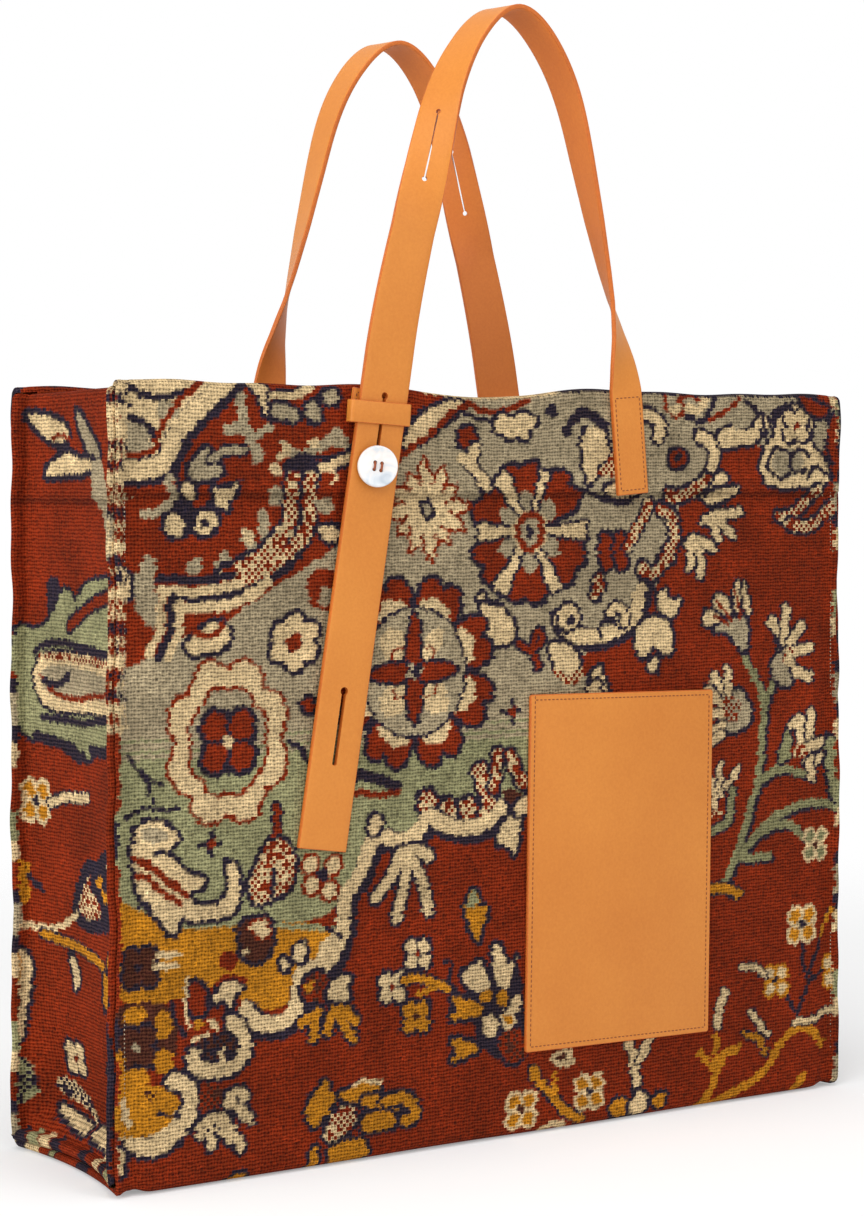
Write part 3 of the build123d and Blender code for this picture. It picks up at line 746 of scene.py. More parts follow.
def dye_cloth(cloth, colours, columns, rows):
    """Each knot's four places coloured on the four corners of its face."""
    mesh = cloth.data
    middle = np.empty(len(mesh.polygons) * 3)
    vertex = np.empty(len(mesh.loops), int)
    mesh.polygons.foreach_get("center", middle)
    mesh.loops.foreach_get("vertex_index", vertex)
    middle = np.repeat(middle.reshape(-1, 3), 4, 0)
    corner = get_points(cloth)[vertex] * mm
    column = np.clip(((middle[:, 0] + 1) / 2 * columns).astype(int), 0, columns - 1) * 2
    row = np.clip(((1 - middle[:, 1]) / 2 * rows).astype(int), 0, rows - 1) * 2
    column += corner[:, 0] > middle[:, 0]
    row += corner[:, 1] < middle[:, 1]
    shade = np.ones((len(vertex), 4))
    shade[:, :3] = colours[row, column]
    mesh.color_attributes.new("yarn", "FLOAT_COLOR", "CORNER").data.foreach_set("color", shade.ravel())


def get_points(piece):
    """Vertices of a piece in millimetres."""
    place = np.empty(len(piece.data.vertices) * 3)
    piece.data.vertices.foreach_get("co", place)
    return place.reshape(-1, 3) / mm


def place_mesh(piece, points):
    """Vertices in millimetres, written in metres."""
    piece.data.vertices.foreach_set("co", (points * mm).ravel())
    piece.data.update()


def along_fold(run):
    """Outer line of the folded cloth across the bag: depth and height, and the way into the cloth, from
    the end of the hem inside, over the top, down the front and under the base to the middle."""
    rise = cloth_height - fold_radius
    stretch = [hem_depth - fold_radius, math.pi * fold_radius, rise - base_radius, math.pi / 2 * base_radius]
    marks = np.cumsum([0] + stretch)
    inner = -cloth_half_depth + 2 * fold_radius
    y, z, ny, nz = (np.zeros_like(run) for _ in range(4))
    part = run < marks[1]
    y[part], z[part], ny[part] = inner, cloth_height - hem_depth + run[part], -1
    part = (run >= marks[1]) & (run < marks[2])
    turn = (run[part] - marks[1]) / fold_radius
    y[part], z[part] = inner - fold_radius + fold_radius * np.cos(turn), rise + fold_radius * np.sin(turn)
    ny[part], nz[part] = -np.cos(turn), -np.sin(turn)
    part = (run >= marks[2]) & (run < marks[3])
    y[part], z[part], ny[part] = -cloth_half_depth, rise - (run[part] - marks[2]), 1
    part = (run >= marks[3]) & (run < marks[4])
    turn = (run[part] - marks[3]) / base_radius
    y[part] = base_radius - cloth_half_depth - base_radius * np.cos(turn)
    z[part] = base_radius - base_radius * np.sin(turn)
    ny[part], nz[part] = np.cos(turn), np.sin(turn)
    part = run >= marks[4]
    y[part], nz[part] = base_radius - cloth_half_depth + run[part] - marks[4], 1
    return y, z, ny, nz


def hem_step(below_top):
    """Step that the turned-in layer leaves on the outside of the cloth, where it ends below the top edge."""
    return np.where(below_top > crease_below, hem_crease * np.exp((crease_below - below_top) / 12), 0)


def wave(points):
    """Slack of the sewn cloth: fins that swing a little from side to side, ends of the base drawn in,
    and top edges that rise and fall."""
    x, y, z = points.T
    fin = np.clip((np.abs(x) - 203) / 14, 0, 1) ** 2 * np.clip(z / 40, 0.2, 1)
    swing = 0.5 * np.sin(z / 27 + 1.3) + 0.35 * np.sin(z / 11.3) + 0.3 * np.sin(z / 5.1 + y / 60)
    lean = 0.9 * np.sin(z / 34 + 0.4) + 0.4 * np.sin(z / 13 + 2)
    edge = np.clip((z - 335) / 45, 0, 1) ** 2
    lift = 0.55 * np.sin(x / 21 + y / 40) + 0.35 * np.sin(x / 7.7 + 1)
    base_end = np.clip((np.abs(x) - 120) / 95, 0, 1) * np.clip(1.4 - z / 10, 0, 1)
    tuck = 7 * np.clip(1 - (y / 60) ** 2, 0, 1) * base_end
    return np.stack((x + np.sign(x) * (fin * swing - tuck), y + fin * lean, z + edge * lift), 1)


fold_length = (hem_depth - fold_radius + math.pi * fold_radius + cloth_height - fold_radius - base_radius
               + math.pi / 2 * base_radius + cloth_half_depth - base_radius)
flat_half_width = cloth_half_width - tip_radius + math.pi * tip_radius + tip_return
front_columns = round(2 * flat_half_width / knot_width)
front_rows = round(fold_length / row_height)
run_to_front = hem_depth - fold_radius + math.pi * fold_radius

across = (np.arange(2 * front_columns) + 0.5) / front_columns * flat_half_width - flat_half_width
down = (np.arange(2 * front_rows) + 0.5) / front_rows * fold_length / 2
start_cartoon(across, cloth_height - fold_radius - (down - run_to_front), 11)
draw_front()
front_colours = yarn_and_crease_shade(12, cloth_height - crease_below)

carpet_front, flat = flat_grid("carpet_front", front_columns, front_rows)
dye_cloth(carpet_front, front_colours, front_columns, front_rows)
aside = flat[:, 0] * flat_half_width
run = (1 - flat[:, 1]) / 2 * fold_length
y, z, ny, nz = along_fold(run)
# Side edges roll round the tip of the fin and go back inside it
over = np.abs(aside) - (cloth_half_width - tip_radius)
roll = np.clip(over / tip_radius, 0, math.pi)
x = np.where(over > 0, cloth_half_width - tip_radius + tip_radius * np.sin(roll), np.abs(aside))
x = np.where(over > math.pi * tip_radius, x - (over - math.pi * tip_radius), x)
sink = tip_radius * (1 - np.cos(roll))
# The stitches pull a groove along the foot of the fin, and the top edge sags between the handles
on_face = run > run_to_front - 6
pull = 0.75 + 0.25 * np.cos(run * 2 * math.pi / 4.2)
sink = sink + np.where(on_face, groove_depth * pull * np.exp(-((np.abs(aside) - seam_across) / 1.5) ** 2), 0)
hollow = 2.2 * np.exp(-((np.abs(aside) - 210.5) / 5) ** 2) * np.clip((380 - z) / 60, 0, 1)
sink = sink + np.where(on_face, hollow, 0)
sink = sink + np.where(on_face, hem_step(cloth_height - z), 0)
sag = -4.4 * np.exp(-(((np.sign(aside) * x + 18) / 42) ** 4)) * np.clip((z - 290) / 90, 0, 1) ** 2
sink = sink + 0.35 * np.sin(run / 9.0 + aside / 31.0) * np.clip(1 - np.abs(aside) / 205, 0, 1)
points = np.stack((np.sign(aside) * x, y + ny * sink, np.maximum(z + nz * sink + sag, 0)), 1)
place_mesh(carpet_front, wave(points))


def drop(cloth, spare):
    """Spare vertices taken out, and the rest shaded smooth."""
    bpy.ops.object.mode_set(mode="EDIT")
    bpy.ops.mesh.select_mode(type="VERT")
    bpy.ops.mesh.select_all(action="DESELECT")
    bpy.ops.object.mode_set(mode="OBJECT")
    cloth.data.vertices.foreach_set("select", spare)
    bpy.ops.object.mode_set(mode="EDIT")
    bpy.ops.mesh.delete(type="VERT")
    bpy.ops.mesh.select_all(action="SELECT")
    bpy.ops.mesh.faces_shade_smooth()
    bpy.ops.object.mode_set(mode="OBJECT")


# The hem stops short of the gussets
hem_half_width = 209.5
drop(carpet_front, (np.abs(aside) > hem_half_width) & (run < hem_depth - fold_radius))


def feed(tree, node, *numbered, **named):
    """Inputs of a node, by number and by name: values are set, and outputs of other nodes are linked."""
    for key, value in (*enumerate(numbered), *named.items()):
        socket = node.inputs[key if isinstance(key, int) else key.replace("_", " ")]
        if isinstance(value, bpy.types.NodeSocket):
            tree.links.new(value, socket)
        else:
            socket.default_value = value


def paint(tree, name, kind, *numbered, **settings):
    """Outputs of a new shader node, which gets its properties and inputs. Inputs start with a capital."""
    node = tree.nodes.new("ShaderNode" + kind)
    node.name = node.label = name
    for key, value in settings.items():
        if key[0].islower():
            setattr(node, key, value)
    feed(tree, node, *numbered, **{key: value for key, value in settings.items() if key[0].isupper()})
    return node.outputs


def group_named(name, takes, gives):
    """New node group, with the outputs of its start and the node at its end."""
    group = bpy.data.node_groups.new(name, "ShaderNodeTree")
    for label, kind, value in takes:
        group.interface.new_socket(label, in_out="INPUT", socket_type=kind).default_value = value
    for label, kind in gives:
        group.interface.new_socket(label, in_out="OUTPUT", socket_type=kind)
    return group, group.nodes.new("NodeGroupInput").outputs, group.nodes.new("NodeGroupOutput")


def finish_named(name):
    """New material with its node tree and its shader."""
    material = bpy.data.materials.new(name)
    material.use_nodes = True
    return material, material.node_tree, material.node_tree.nodes["Principled BSDF"]


def make_pile():
    """Cut pile: every knot a soft tuft with painted shade in the gap round it and a painted highlight on its
    crest, a woolly fuzz, and an uneven nap with painted shade of shallow dents.
    """
    group, takes, gives = group_named(
        "cut pile", (("Columns", "NodeSocketFloat", 100.0), ("Rows", "NodeSocketFloat", 100.0)),
        (("Shade", "NodeSocketFloat"), ("Tips", "NodeSocketFloat"), ("Normal", "NodeSocketVector")))
    place = paint(group, "Knot place", "UVMap", uv_map="UVMap")["UV"]
    knots = paint(group, "Knot numbers", "CombineXYZ", takes["Columns"], takes["Rows"])[0]
    count = paint(group, "Knots", "VectorMath", place, knots, operation="MULTIPLY")[0]
    stray = paint(group, "Stray tufts", "TexNoise", count, noise_dimensions="2D", Scale=0.45,
                  Detail=2.0)["Color"]
    bend = paint(group, "Bent tufts", "VectorMath", stray, (1.0, 0.9, 0), count,
                 operation="MULTIPLY_ADD")[0]
    inside = paint(group, "Inside knot", "VectorMath", bend, operation="FRACTION")[0]
    split = paint(group, "Across and along", "SeparateXYZ", inside)
    gaps = []
    for label, side, power in (("Gap across", split["X"], 0.6), ("Gap along", split["Y"], 0.7)):
        turn = paint(group, label + " turn", "Math", side, math.pi, operation="MULTIPLY")[0]
        arch = paint(group, label + " arch", "Math", turn, operation="SINE")[0]
        crown = paint(group, label + " crown", "Math", arch, power, operation="POWER")[0]
        gaps.append(paint(group, label, "Math", 1.0, crown, operation="SUBTRACT")[0])
    # Painted shade: the wool's colour darkens in the gaps and pits between knots, where shade falls; the same
    # value also raises the tufts for the bump.
    between = paint(group, "Pits between knots", "Math", *gaps, operation="MULTIPLY")[0]
    for label, gap, weight in (("Between columns", gaps[0], 0.2), ("Between rows", gaps[1], 0.52)):
        between = paint(group, label, "Math", gap, weight, between, operation="MULTIPLY_ADD")[0]
    depth = paint(group, "Painted gap shade", "MapRange", between, From_Max=1.68, To_Min=1.06,
                  To_Max=0.03)[0]
    spot_at = paint(group, "Place", "TexCoord")["Object"]
    fuzz = paint(group, "Wool fuzz", "TexNoise", spot_at, Scale=1400.0, Detail=3.0)["Fac"]
    # Uneven nap, and painted shade: the slow noise also stands in for the shade of shallow dents in the
    # cloth.
    nap_and_dents = paint(group, "Trodden nap and dents", "TexNoise", spot_at, Scale=34.0, Detail=4.0)["Fac"]
    # Painted highlight: pale colour on the knots' crests, where the fuzz catches light.
    crest = paint(group, "Crests", "MapRange", between, From_Max=0.3, To_Min=1.0, To_Max=0.0)[0]
    tip_highlight = paint(group, "Painted tip highlight", "Math", crest, fuzz, operation="MULTIPLY")[0]
    height = paint(group, "Pile height", "Math", fuzz, 0.5, depth, operation="MULTIPLY_ADD")[0]
    bump = paint(group, "Pile", "Bump", Strength=1.0, Distance=0.0012, Height=height)["Normal"]
    nap_and_dent_shade = paint(group, "Nap and dent shade", "MapRange", nap_and_dents, From_Min=0.3, From_Max=0.7, To_Min=0.74,
                To_Max=1.2)[0]
    shade = paint(group, "Shade", "Math", depth, nap_and_dent_shade, operation="MULTIPLY")[0]
    feed(group, gives, Shade=shade, Tips=tip_highlight, Normal=bump)
    return group


pile = make_pile()


def make_carpet_finish(name, columns, rows):
    """Wool in the yarn colours of the knots."""
    material, tree, shader = finish_named(name)
    # The yarn colours hold the knots' dyes together with the painted shade along the hem crease.
    yarn = paint(tree, "Yarn", "Attribute", attribute_name="yarn")["Color"]
    tufts = paint(tree, "Cut pile", "Group", node_tree=pile, Columns=float(columns),
                  Rows=float(rows))
    wool = paint(tree, "Shaded wool", "VectorMath", yarn, operation="SCALE",
                 Scale=tufts["Shade"])[0]
    # Painted highlight: a pale tint added to the wool on the crests of the knots.
    highlighted_wool = paint(tree, "Painted tip highlight", "VectorMath", tufts["Tips"], (0.045, 0.024, 0.008), wool,
                 operation="MULTIPLY_ADD")[0]
    feed(tree, shader, Base_Color=highlighted_wool, Normal=tufts["Normal"], Roughness=0.92, Specular_IOR_Level=0.08)
    return material


def make_toned(name, texture, settings, stops, roughness, relief=None):
    """Finish in a few tones that follow one texture, which can raise the surface too."""
    material, tree, shader = finish_named(name)
    spot_at = paint(tree, "Place", "TexCoord")["Object"]
    course = paint(tree, "Lay", texture, spot_at, **settings)["Fac"]
    tone = paint(tree, "Tones", "ValToRGB", course)["Color"]
    ramp = tree.nodes["Tones"].color_ramp.elements
    for number, (share, shade) in enumerate(stops):
        element = ramp[number] if number < 2 else ramp.new(share)
        element.position, element.color = share, (*dye(*shade), 1)
    feed(tree, shader, Base_Color=tone, Roughness=roughness)
    if relief:
        bump = paint(tree, "Relief", "Bump", Strength=relief[0], Distance=relief[1], Height=course)
        feed(tree, shader, Normal=bump["Normal"])
    return material, tree, shader


# Plain jute and cotton ground weave on the cloth's back
jute, tree, shader = make_toned("carpet back", "TexNoise", dict(Scale=420.0, Detail=4.0),
                                ((0.3, (116, 92, 66)), (0.72, (146, 120, 88))), 0.95)
spot_at = paint(tree, "Weft place", "TexCoord")["Object"]
weft = paint(tree, "Weft", "TexWave", spot_at, bands_direction="Z", Scale=170.0, Distortion=1.2,
             Detail=2.0)["Fac"]
weave = paint(tree, "Weave", "Bump", Strength=0.6, Distance=0.0006, Height=weft)["Normal"]
feed(tree, shader, Normal=weave)


def cover(piece, *materials):
    """Materials of a piece, in the order of its material numbers."""
    for material in materials:
        piece.data.materials.append(material)


def select_only(*pieces):
    """These pieces selected and nothing else, with the first of them active."""
    bpy.ops.object.select_all(action="DESELECT")
    for piece in pieces:
        piece.select_set(True)
    bpy.context.view_layer.objects.active = pieces[0]


def back_with_jute(cloth, wool, columns, shape):
    """Woven back joined to the cloth, which shows inside the bag. Shape gives its places."""
    backing, flat = flat_grid("backing", columns, 60)
    backing.data.color_attributes.new("yarn", "FLOAT_COLOR", "CORNER")
    place_mesh(backing, shape(flat[:, 0], (flat[:, 1] + 1) / 2))
    for piece in (cloth, backing):
        cover(piece, wool, jute)
    backing.data.polygons.foreach_set("material_index", np.ones(len(backing.data.polygons), int))
    select_only(cloth, backing)
    bpy.ops.object.join()


backing_half_width = 211


def front_inside(across_share, run_share):
    """Inner face of the front's cloth, below its top fold."""
    y, z, ny, nz = along_fold(run_to_front + 2 + run_share * (fold_length - run_to_front - 2))
    return np.stack((across_share * backing_half_width, y + ny * cloth_thick, z + nz * cloth_thick), 1)


back_with_jute(carpet_front, make_carpet_finish("carpet wool", front_columns, front_rows), 40, front_inside)


def turned_copy(piece, name):
    """The same piece for the back of the bag, turned half round the upright axis, with its own mesh."""
    select_only(piece)
    bpy.ops.object.duplicate(linked=False)
    copy = bpy.context.object
    copy.name = copy.data.name = name
    copy.rotation_euler = (0, 0, math.pi)
    bpy.ops.object.transform_apply(location=True, rotation=True, scale=True)
    return copy


def dress(piece, node):
    """Finished piece in the place of its CAD node."""
    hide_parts(node)
    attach(piece, "root")


for half in (carpet_front, turned_copy(carpet_front, "carpet_back")):
    dress(half, "carpet_body")

# Gussets
# Each end of the bag is a panel of the same carpet, bowed inwards and creased just above the base.
# Its edges turn out against the body's edges, and the two cloths are sewn together as a fin.
gusset_plane, gusset_top, gusset_half_span = -215.0, 377.0, 53.0
flange_tip = 222.6
flange_reach = flange_tip - tip_radius + gusset_plane
foot_radius = 2.9
gusset_foot = cloth_thick + 2 * foot_radius
gusset_bow, bow_heights = 17.0, (0, 10, 19, 34.5, 67, 160, 272, 377)
bow_shares = (0.2, 0.3, 0.92, 1, 0.66, 0.42, 0.24, 0.16)
edge_run = flange_reach + math.pi * tip_radius + tip_return
gusset_flat_half = gusset_half_span + edge_run
foot_run = flange_tip - foot_radius + gusset_plane + math.pi * foot_radius + tip_return
gusset_run = run_to_front + gusset_top - fold_radius - gusset_foot + foot_run
gusset_columns = round(2 * gusset_flat_half / knot_width)
gusset_rows = round(gusset_run / row_height)


def draw_gusset():
    """Rust field with leaves at the top, a sage palmette, blossoms, a vine and dark leaves near the base.
    Plan x is the bag's depth, with the front at the right of the plan."""
    leaf("cream", (-56, 367), (-40, 366), (-22, 363), (-8, 356), (-18, 351), (-32, 353), (-44, 360),
         rim_width=3.6)
    line("rust", 2.4, (-28, 354), (-20, 356), (-8, 352))
    leaf("khaki", (-2, 368), (6, 364), (20, 352), (27, 346), (16, 342), (8, 350), (2, 358), rim_width=3.6)
    leaf("cream", (-38, 335), (-27, 343), (-14, 347), (0, 343), (14, 343), (22, 340), (6, 337), (-16, 336),
         rim_width=3.6)
    patch("khaki", (16, 343), (30, 344), (31, 336), (37, 328), (40, 309), (28, 309), (27, 320), (18, 320),
          (14, 331))
    leaf("navy", (-33, 283), (-22, 284), (-20, 268), (-32, 266))
    leaf("sage", (-62, 262), (-44, 258), (-30, 265), (-19, 280), (-8, 279), (-6, 272), (6, 284), (40, 288),
         (56, 284), (56, 200), (20, 205), (2, 196), (-8, 205), (-40, 208), (-50, 203), (-62, 215),
         rim_width=2.4)
    line("rust", 5, (-10, 262), (5, 270), (25, 277), (56, 281), rim=2)
    line("navy", 4, (-45, 248), (-40, 252), (-20, 254), (10, 252), (56, 248))
    leaf("cream", (-47, 244), (-30, 249), (10, 249), (56, 246), (56, 222), (25, 222), (0, 221), (-30, 219),
         (-45, 226), rim_width=2)
    line("rust", 4, (-40, 246), (0, 247), (56, 244), other="cream")
    patch("khaki", (-40, 242), (-10, 243), (30, 240), (56, 239), (56, 230), (10, 228), (-20, 224), (-40, 230))
    line("rust", 3, (-40, 236), (-30, 228), (-10, 226), (20, 230), (50, 234))
    line("navy", 4, (-38, 234), (-25, 232), (-12, 238))
    line("navy", 4, (-40, 216), (0, 215), (30, 219), (56, 224))
    line("navy", 6, (-46, 206), (-20, 204), (-6, 196), (4, 203), (24, 203), (50, 208))
    line("sage", 4, (-40, 211), (-20, 211), (0, 206), (6, 200))
    blossom(-45, 174, 7.4, 6.4, "cream", inner="mustard", heart="navy")
    line("cream", 4.4, (-33, 174), (-20, 178), (-6, 178), (2, 180), rim=1.4)
    blossom(-62, 133, 7, 6, "mustard", heart="navy")
    line("navy", 4, (-51, 136), (-42, 130))
    leaf("navy", (-16, 118), (-10, 131), (0, 149), (8, 146), (15, 149), (25, 156), (38, 156), (41, 135),
         (30, 122), (10, 116))
    patch("rust", (-12, 122), (-4, 134), (3, 145), (4, 134), (18, 128), (10, 120), other="cream")
    spot("mustard", 14, 140, 4.4, 3, 20)
    spot("mustard", 22, 134, 5, 2.6, -10)
    patch("cream", (22, 150), (36, 153), (36, 146), (28, 147))
    patch("khaki", (34, 144), (40, 150), (40, 134), (36, 134))
    line("cream", 3.4, (-64, 112), (-46, 111), (-31, 112), (-20, 117), (-12, 121))
    line("mustard", 4.4, (-42, 108), (-25, 106), (0, 104), (15, 100), (21, 96), rim=1.3)
    leaf("mustard", (15, 97), (28, 95), (24, 84), (16, 77), (15, 86))
    line("mustard", 5.4, (24, 103), (38, 111), (56, 119), rim=1.6)
    line("cream", 4.6, (30, 92), (46, 100), (58, 104), rim=1.6)
    line("cream", 5, (22, 74), (38, 82), (58, 90), rim=1.8)
    leaf("cream", (-22, 101), (-14, 98), (-12, 88), (-18, 81), (-20, 90))
    leaf("cream", (-66, 100), (-52, 99), (-50, 85), (-53, 70), (-55, 54), (-66, 50))
    spot("umber", -60, 72, 4, 8)
    line("mustard", 3, (-58, 96), (-58, 84))
    blossom(-25, 48, 5.6, 4, "cream", heart="rust", rim="navy")
    patch("navy", (-43, 39), (-38, 27), (-20, 26), (2, 17), (-4, 24), (-20, 33), other="cream")
    leaf("cream", (7, 50), (24, 55), (28, 42), (20, 31), (11, 36))
    patch("sage", (-66, 52), (-52, 44), (-46, 24), (-66, 20), other="navy")
    patch("mustard", (34, 62), (58, 72), (58, 64), (36, 54))
    patch("cream", (34, 40), (58, 56), (58, 46), (34, 32))
    line("navy", 4, (32, 48), (58, 62))
    line("cream", 4.4, (-36, 21), (-20, 17), (-8, 16), rim=2.4)
    line("cream", 5, (2, 17), (20, 14), (40, 22), rim=2.4)
    lip = ("sage", "navy", "sage", "cream", "navy", "rust", "rust", "navy", "rust", "cream", "navy", "sage",
           "cream", "navy")
    for number, yarn in enumerate(lip):
        left = number * 9.5 - 66
        patch(yarn, (left, 11), (left + 8, 11), (left + 14, -14), (left + 5, -14))
    patch("khaki", (48, 318), (66, 322), (66, 292), (50, 300))
    patch("navy", (51, 78), (66, 84), (66, 10), (56, 12), (54, 40))
    for low, high in ((68, 54), (48, 36), (30, 16)):
        line("cream", 3.4, (57, low), (60, (low + high) / 2), (58, high))
    edge_bands((cartoon["x"] < -57.5) & (cartoon["z"] < 238))
    fray_edge((cartoon["x"] > 57) & (cartoon["z"] > 215))


across = (np.arange(2 * gusset_columns) + 0.5) / gusset_columns * gusset_flat_half - gusset_flat_half
down = (np.arange(2 * gusset_rows) + 0.5) / gusset_rows * gusset_run / 2
start_cartoon(across, gusset_top - fold_radius - (down - run_to_front), 21)
draw_gusset()
gusset_colours = yarn_and_crease_shade(22, gusset_top - crease_below)


def edge_roll(beyond, radius):
    """How far out and how far aside a turned-out edge lies, from its run past the panel."""
    reach = flange_tip - radius + gusset_plane
    roll = np.clip((beyond - reach) / radius, 0, math.pi)
    out = np.clip(beyond, 0, reach) + radius * np.sin(roll)
    out = out - np.clip(beyond - reach - math.pi * radius, 0, None)
    return out, np.where(beyond > 0, radius * (1 - np.cos(roll)), 0)


def gusset_points(flat_across, run, inset):
    """Places of the left gusset's cloth from its flat cut."""
    side = np.sign(flat_across)
    out_side, past_side = edge_roll(np.abs(flat_across) - gusset_half_span, tip_radius)
    closing = np.clip((np.abs(flat_across) - gusset_half_span - flange_reach) / (math.pi * tip_radius), 0, 1)
    shut = np.clip((run - run_to_front + 8) / 14, 0.15, 1)
    y = np.minimum(np.abs(flat_across), gusset_half_span) + past_side * shut
    rise = gusset_top - fold_radius
    hem = hem_depth - fold_radius
    turn = np.clip((run - hem) / fold_radius, 0, math.pi)
    z = np.where(run < hem, gusset_top - hem_depth + run, rise + fold_radius * np.sin(turn))
    inward = fold_radius * (1 + np.cos(turn))
    below = run - hem - math.pi * fold_radius
    z = np.where(below > 0, np.maximum(rise - below, gusset_foot), z)
    out_foot, past_foot = edge_roll(below - (rise - gusset_foot), foot_radius)
    # The rolled foot is pressed shut at both ends
    z = z - past_foot - np.where(past_foot > 0, (foot_radius - past_foot) * closing, 0)
    # The panel's two lower corners follow the round of the body's base
    corner_y, corner_z = y - (cloth_half_depth - base_radius), base_radius - z
    square = (corner_y > 0) & (corner_z > 0)
    reach = np.maximum(corner_y, corner_z)
    length = np.maximum(np.hypot(corner_y, corner_z), 1e-6)
    y = np.where(square, cloth_half_depth - base_radius + reach * corner_y / length, y)
    z = np.where(square, base_radius - reach * corner_z / length, z)
    steep = np.interp(z, (0, 10, 16, 45, 120), (2, 2, 4, 4, 2))
    aside = np.abs(y) / gusset_half_span
    bow = gusset_bow * np.interp(z, bow_heights, bow_shares) * np.clip(1 - aside ** steep, 0, 1)
    loose = np.clip(1 - np.abs(y) / 46, 0, 1) * np.clip((z - 20) / 60, 0, 1)
    ripple = 0.9 * np.sin(z / 23.0 + side * y / 17.0) * loose
    crease = np.where(below > 0, hem_step(gusset_top - z), 0) * np.clip(1 - aside ** 4, 0, 1)
    x = gusset_plane + bow + ripple + crease + inward + inset - np.maximum(out_side, out_foot)
    return np.stack((x, -side * y, z), 1)


left_gusset, flat = flat_grid("left_gusset_cloth", gusset_columns, gusset_rows)
dye_cloth(left_gusset, gusset_colours, gusset_columns, gusset_rows)
aside = flat[:, 0] * gusset_flat_half
run = (1 - flat[:, 1]) / 2 * gusset_run
place_mesh(left_gusset, wave(gusset_points(aside, run, 0)))
drop(left_gusset, (np.abs(aside) > gusset_half_span - 4) & (run < hem_depth - fold_radius))


def gusset_inside(across_share, run_share):
    """Inner face of the gusset's cloth, below its hem."""
    run = run_to_front + hem_depth - 6 + run_share * (gusset_top - gusset_foot - hem_depth)
    return gusset_points(across_share * (gusset_half_span - 2), run, cloth_thick)


back_with_jute(left_gusset, make_carpet_finish("gusset wool", gusset_columns, gusset_rows), 24, gusset_inside)
right_gusset = turned_copy(left_gusset, "right_gusset_cloth")
for cloth, node in ((left_gusset, "left_gusset"), (right_gusset, "right_gusset")):
    dress(cloth, node)

# Handle straps
# Each handle is one strap of vegetable-tanned leather, cut flat with three buttonholes and left a natural
# tan. Its wide tail is buttoned to the bag, the narrower part twists over as the arch, and the other end
# is sewn down.
strap_thick, strap_half_turn = 2.4, 180.0
tail_end, arch_start = np.array((-111.5, -61.4, 154.0)), np.array((-75.22, -65.265, 395.0))
sewn_top, sewn_end = np.array((72.0, -61.2, 380.0)), np.array((76.5, -61.2, 326.0))
arch_rise, arch_foot = 191.5, 380.0
arch_across_shares = (0.17, 0.30, 0.485, 0.66, 0.80, 0.92)
arch_rise_shares = (0.62, 0.885, 1, 0.90, 0.64, 0.285)
arch_length_shares = (0, 0.155, 0.26, 0.33, 0.40, 0.48, 0.545, 0.62, 0.70, 0.78, 0.845, 0.885, 0.93, 0.965, 1)
arch_turn_shares = (0, 0.03, 0.20, 0.33, 0.40, 0.43, 0.445, 0.475, 0.51, 0.56, 0.625, 0.68, 0.785, 0.90, 1)
width_shares, strap_widths = (0, 0.28, 1), (27.0, 21.0, 19.5)
slit_length, slit_hole, slit_pitch, button_along = 35.0, 2.6, 145.5, 188.0


def unit(way):
    """Way of length one."""
    return way / np.linalg.norm(way, axis=-1, keepdims=True)


def strap_course():
    """Middle line of the strap from the tail's end to the sewn end, with its turn and width."""
    marks = [arch_start]
    for across_share, rise_share in zip(arch_across_shares, arch_rise_shares):
        level = arch_start + (sewn_top - arch_start) * across_share
        marks.append(np.array((level[0], level[1], arch_foot + arch_rise * rise_share)))
    marks = np.array(marks + [sewn_top])
    steps = np.diff(marks, axis=0)
    chords = np.linalg.norm(steps, axis=1)
    slopes = steps / chords[:, None]
    ties, pulls = np.eye(len(marks)), np.zeros((len(marks), 3))
    pulls[0], pulls[-1] = unit(arch_start - tail_end), unit(sewn_end - sewn_top)
    for k in range(1, len(marks) - 1):
        ties[k, k - 1:k + 2] = chords[k], 2 * (chords[k - 1] + chords[k]), chords[k - 1]
        pulls[k] = 3 * (chords[k] * slopes[k - 1] + chords[k - 1] * slopes[k])
    ways = np.linalg.solve(ties, pulls)
    t = np.linspace(0, 1, 100, endpoint=False)[:, None]
    arch = []
    for k, chord in enumerate(chords):
        between = marks[k] * (2 * t**3 - 3 * t**2 + 1) + marks[k + 1] * (3 * t**2 - 2 * t**3)
        arch.append(between + chord * (ways[k] * (t**3 - 2 * t**2 + t) + ways[k + 1] * (t**3 - t**2)))
    arch = np.vstack(arch + [marks[-1:]])
    far = np.concatenate(((0,), np.cumsum(np.linalg.norm(np.diff(arch, axis=0), axis=1))))
    tail = tail_end + (arch_start - tail_end) * np.linspace(0, 1, 60, endpoint=False)[:, None]
    sewn = sewn_top + (sewn_end - sewn_top) * np.linspace(0, 1, 21)[1:, None]
    middle = np.vstack((tail, arch, sewn))
    share = np.concatenate((np.zeros(60), far / far[-1], np.ones(20)))
    gone = np.concatenate(((0,), np.cumsum(np.linalg.norm(np.diff(middle, axis=0), axis=1))))
    turn = np.radians(strap_half_turn) * np.interp(share, arch_length_shares, arch_turn_shares)
    return gone, middle, turn, np.interp(share, width_shares, strap_widths)


course_run, course_middle, course_turn, course_width = strap_course()
course_way = unit(np.gradient(course_middle, course_run, axis=0))
strap_length = course_run[-1]


def on_strap(aside, run, out):
    """Places on the strap from the flat cut: across it, along it, and out on its grain side."""
    def at(values):
        return np.stack([np.interp(run, course_run, values[:, k]) for k in range(3)], 1)
    way = unit(at(course_way))
    turn = np.interp(run, course_run, course_turn)
    level = np.stack((np.cos(turn), -np.sin(turn), np.zeros_like(turn)), 1)
    across = unit(level - way * np.sum(level * way, 1, keepdims=True))
    grain = -np.cross(way, across)
    return at(course_middle) + across * np.asarray(aside)[:, None] + grain * np.asarray(out)[:, None]


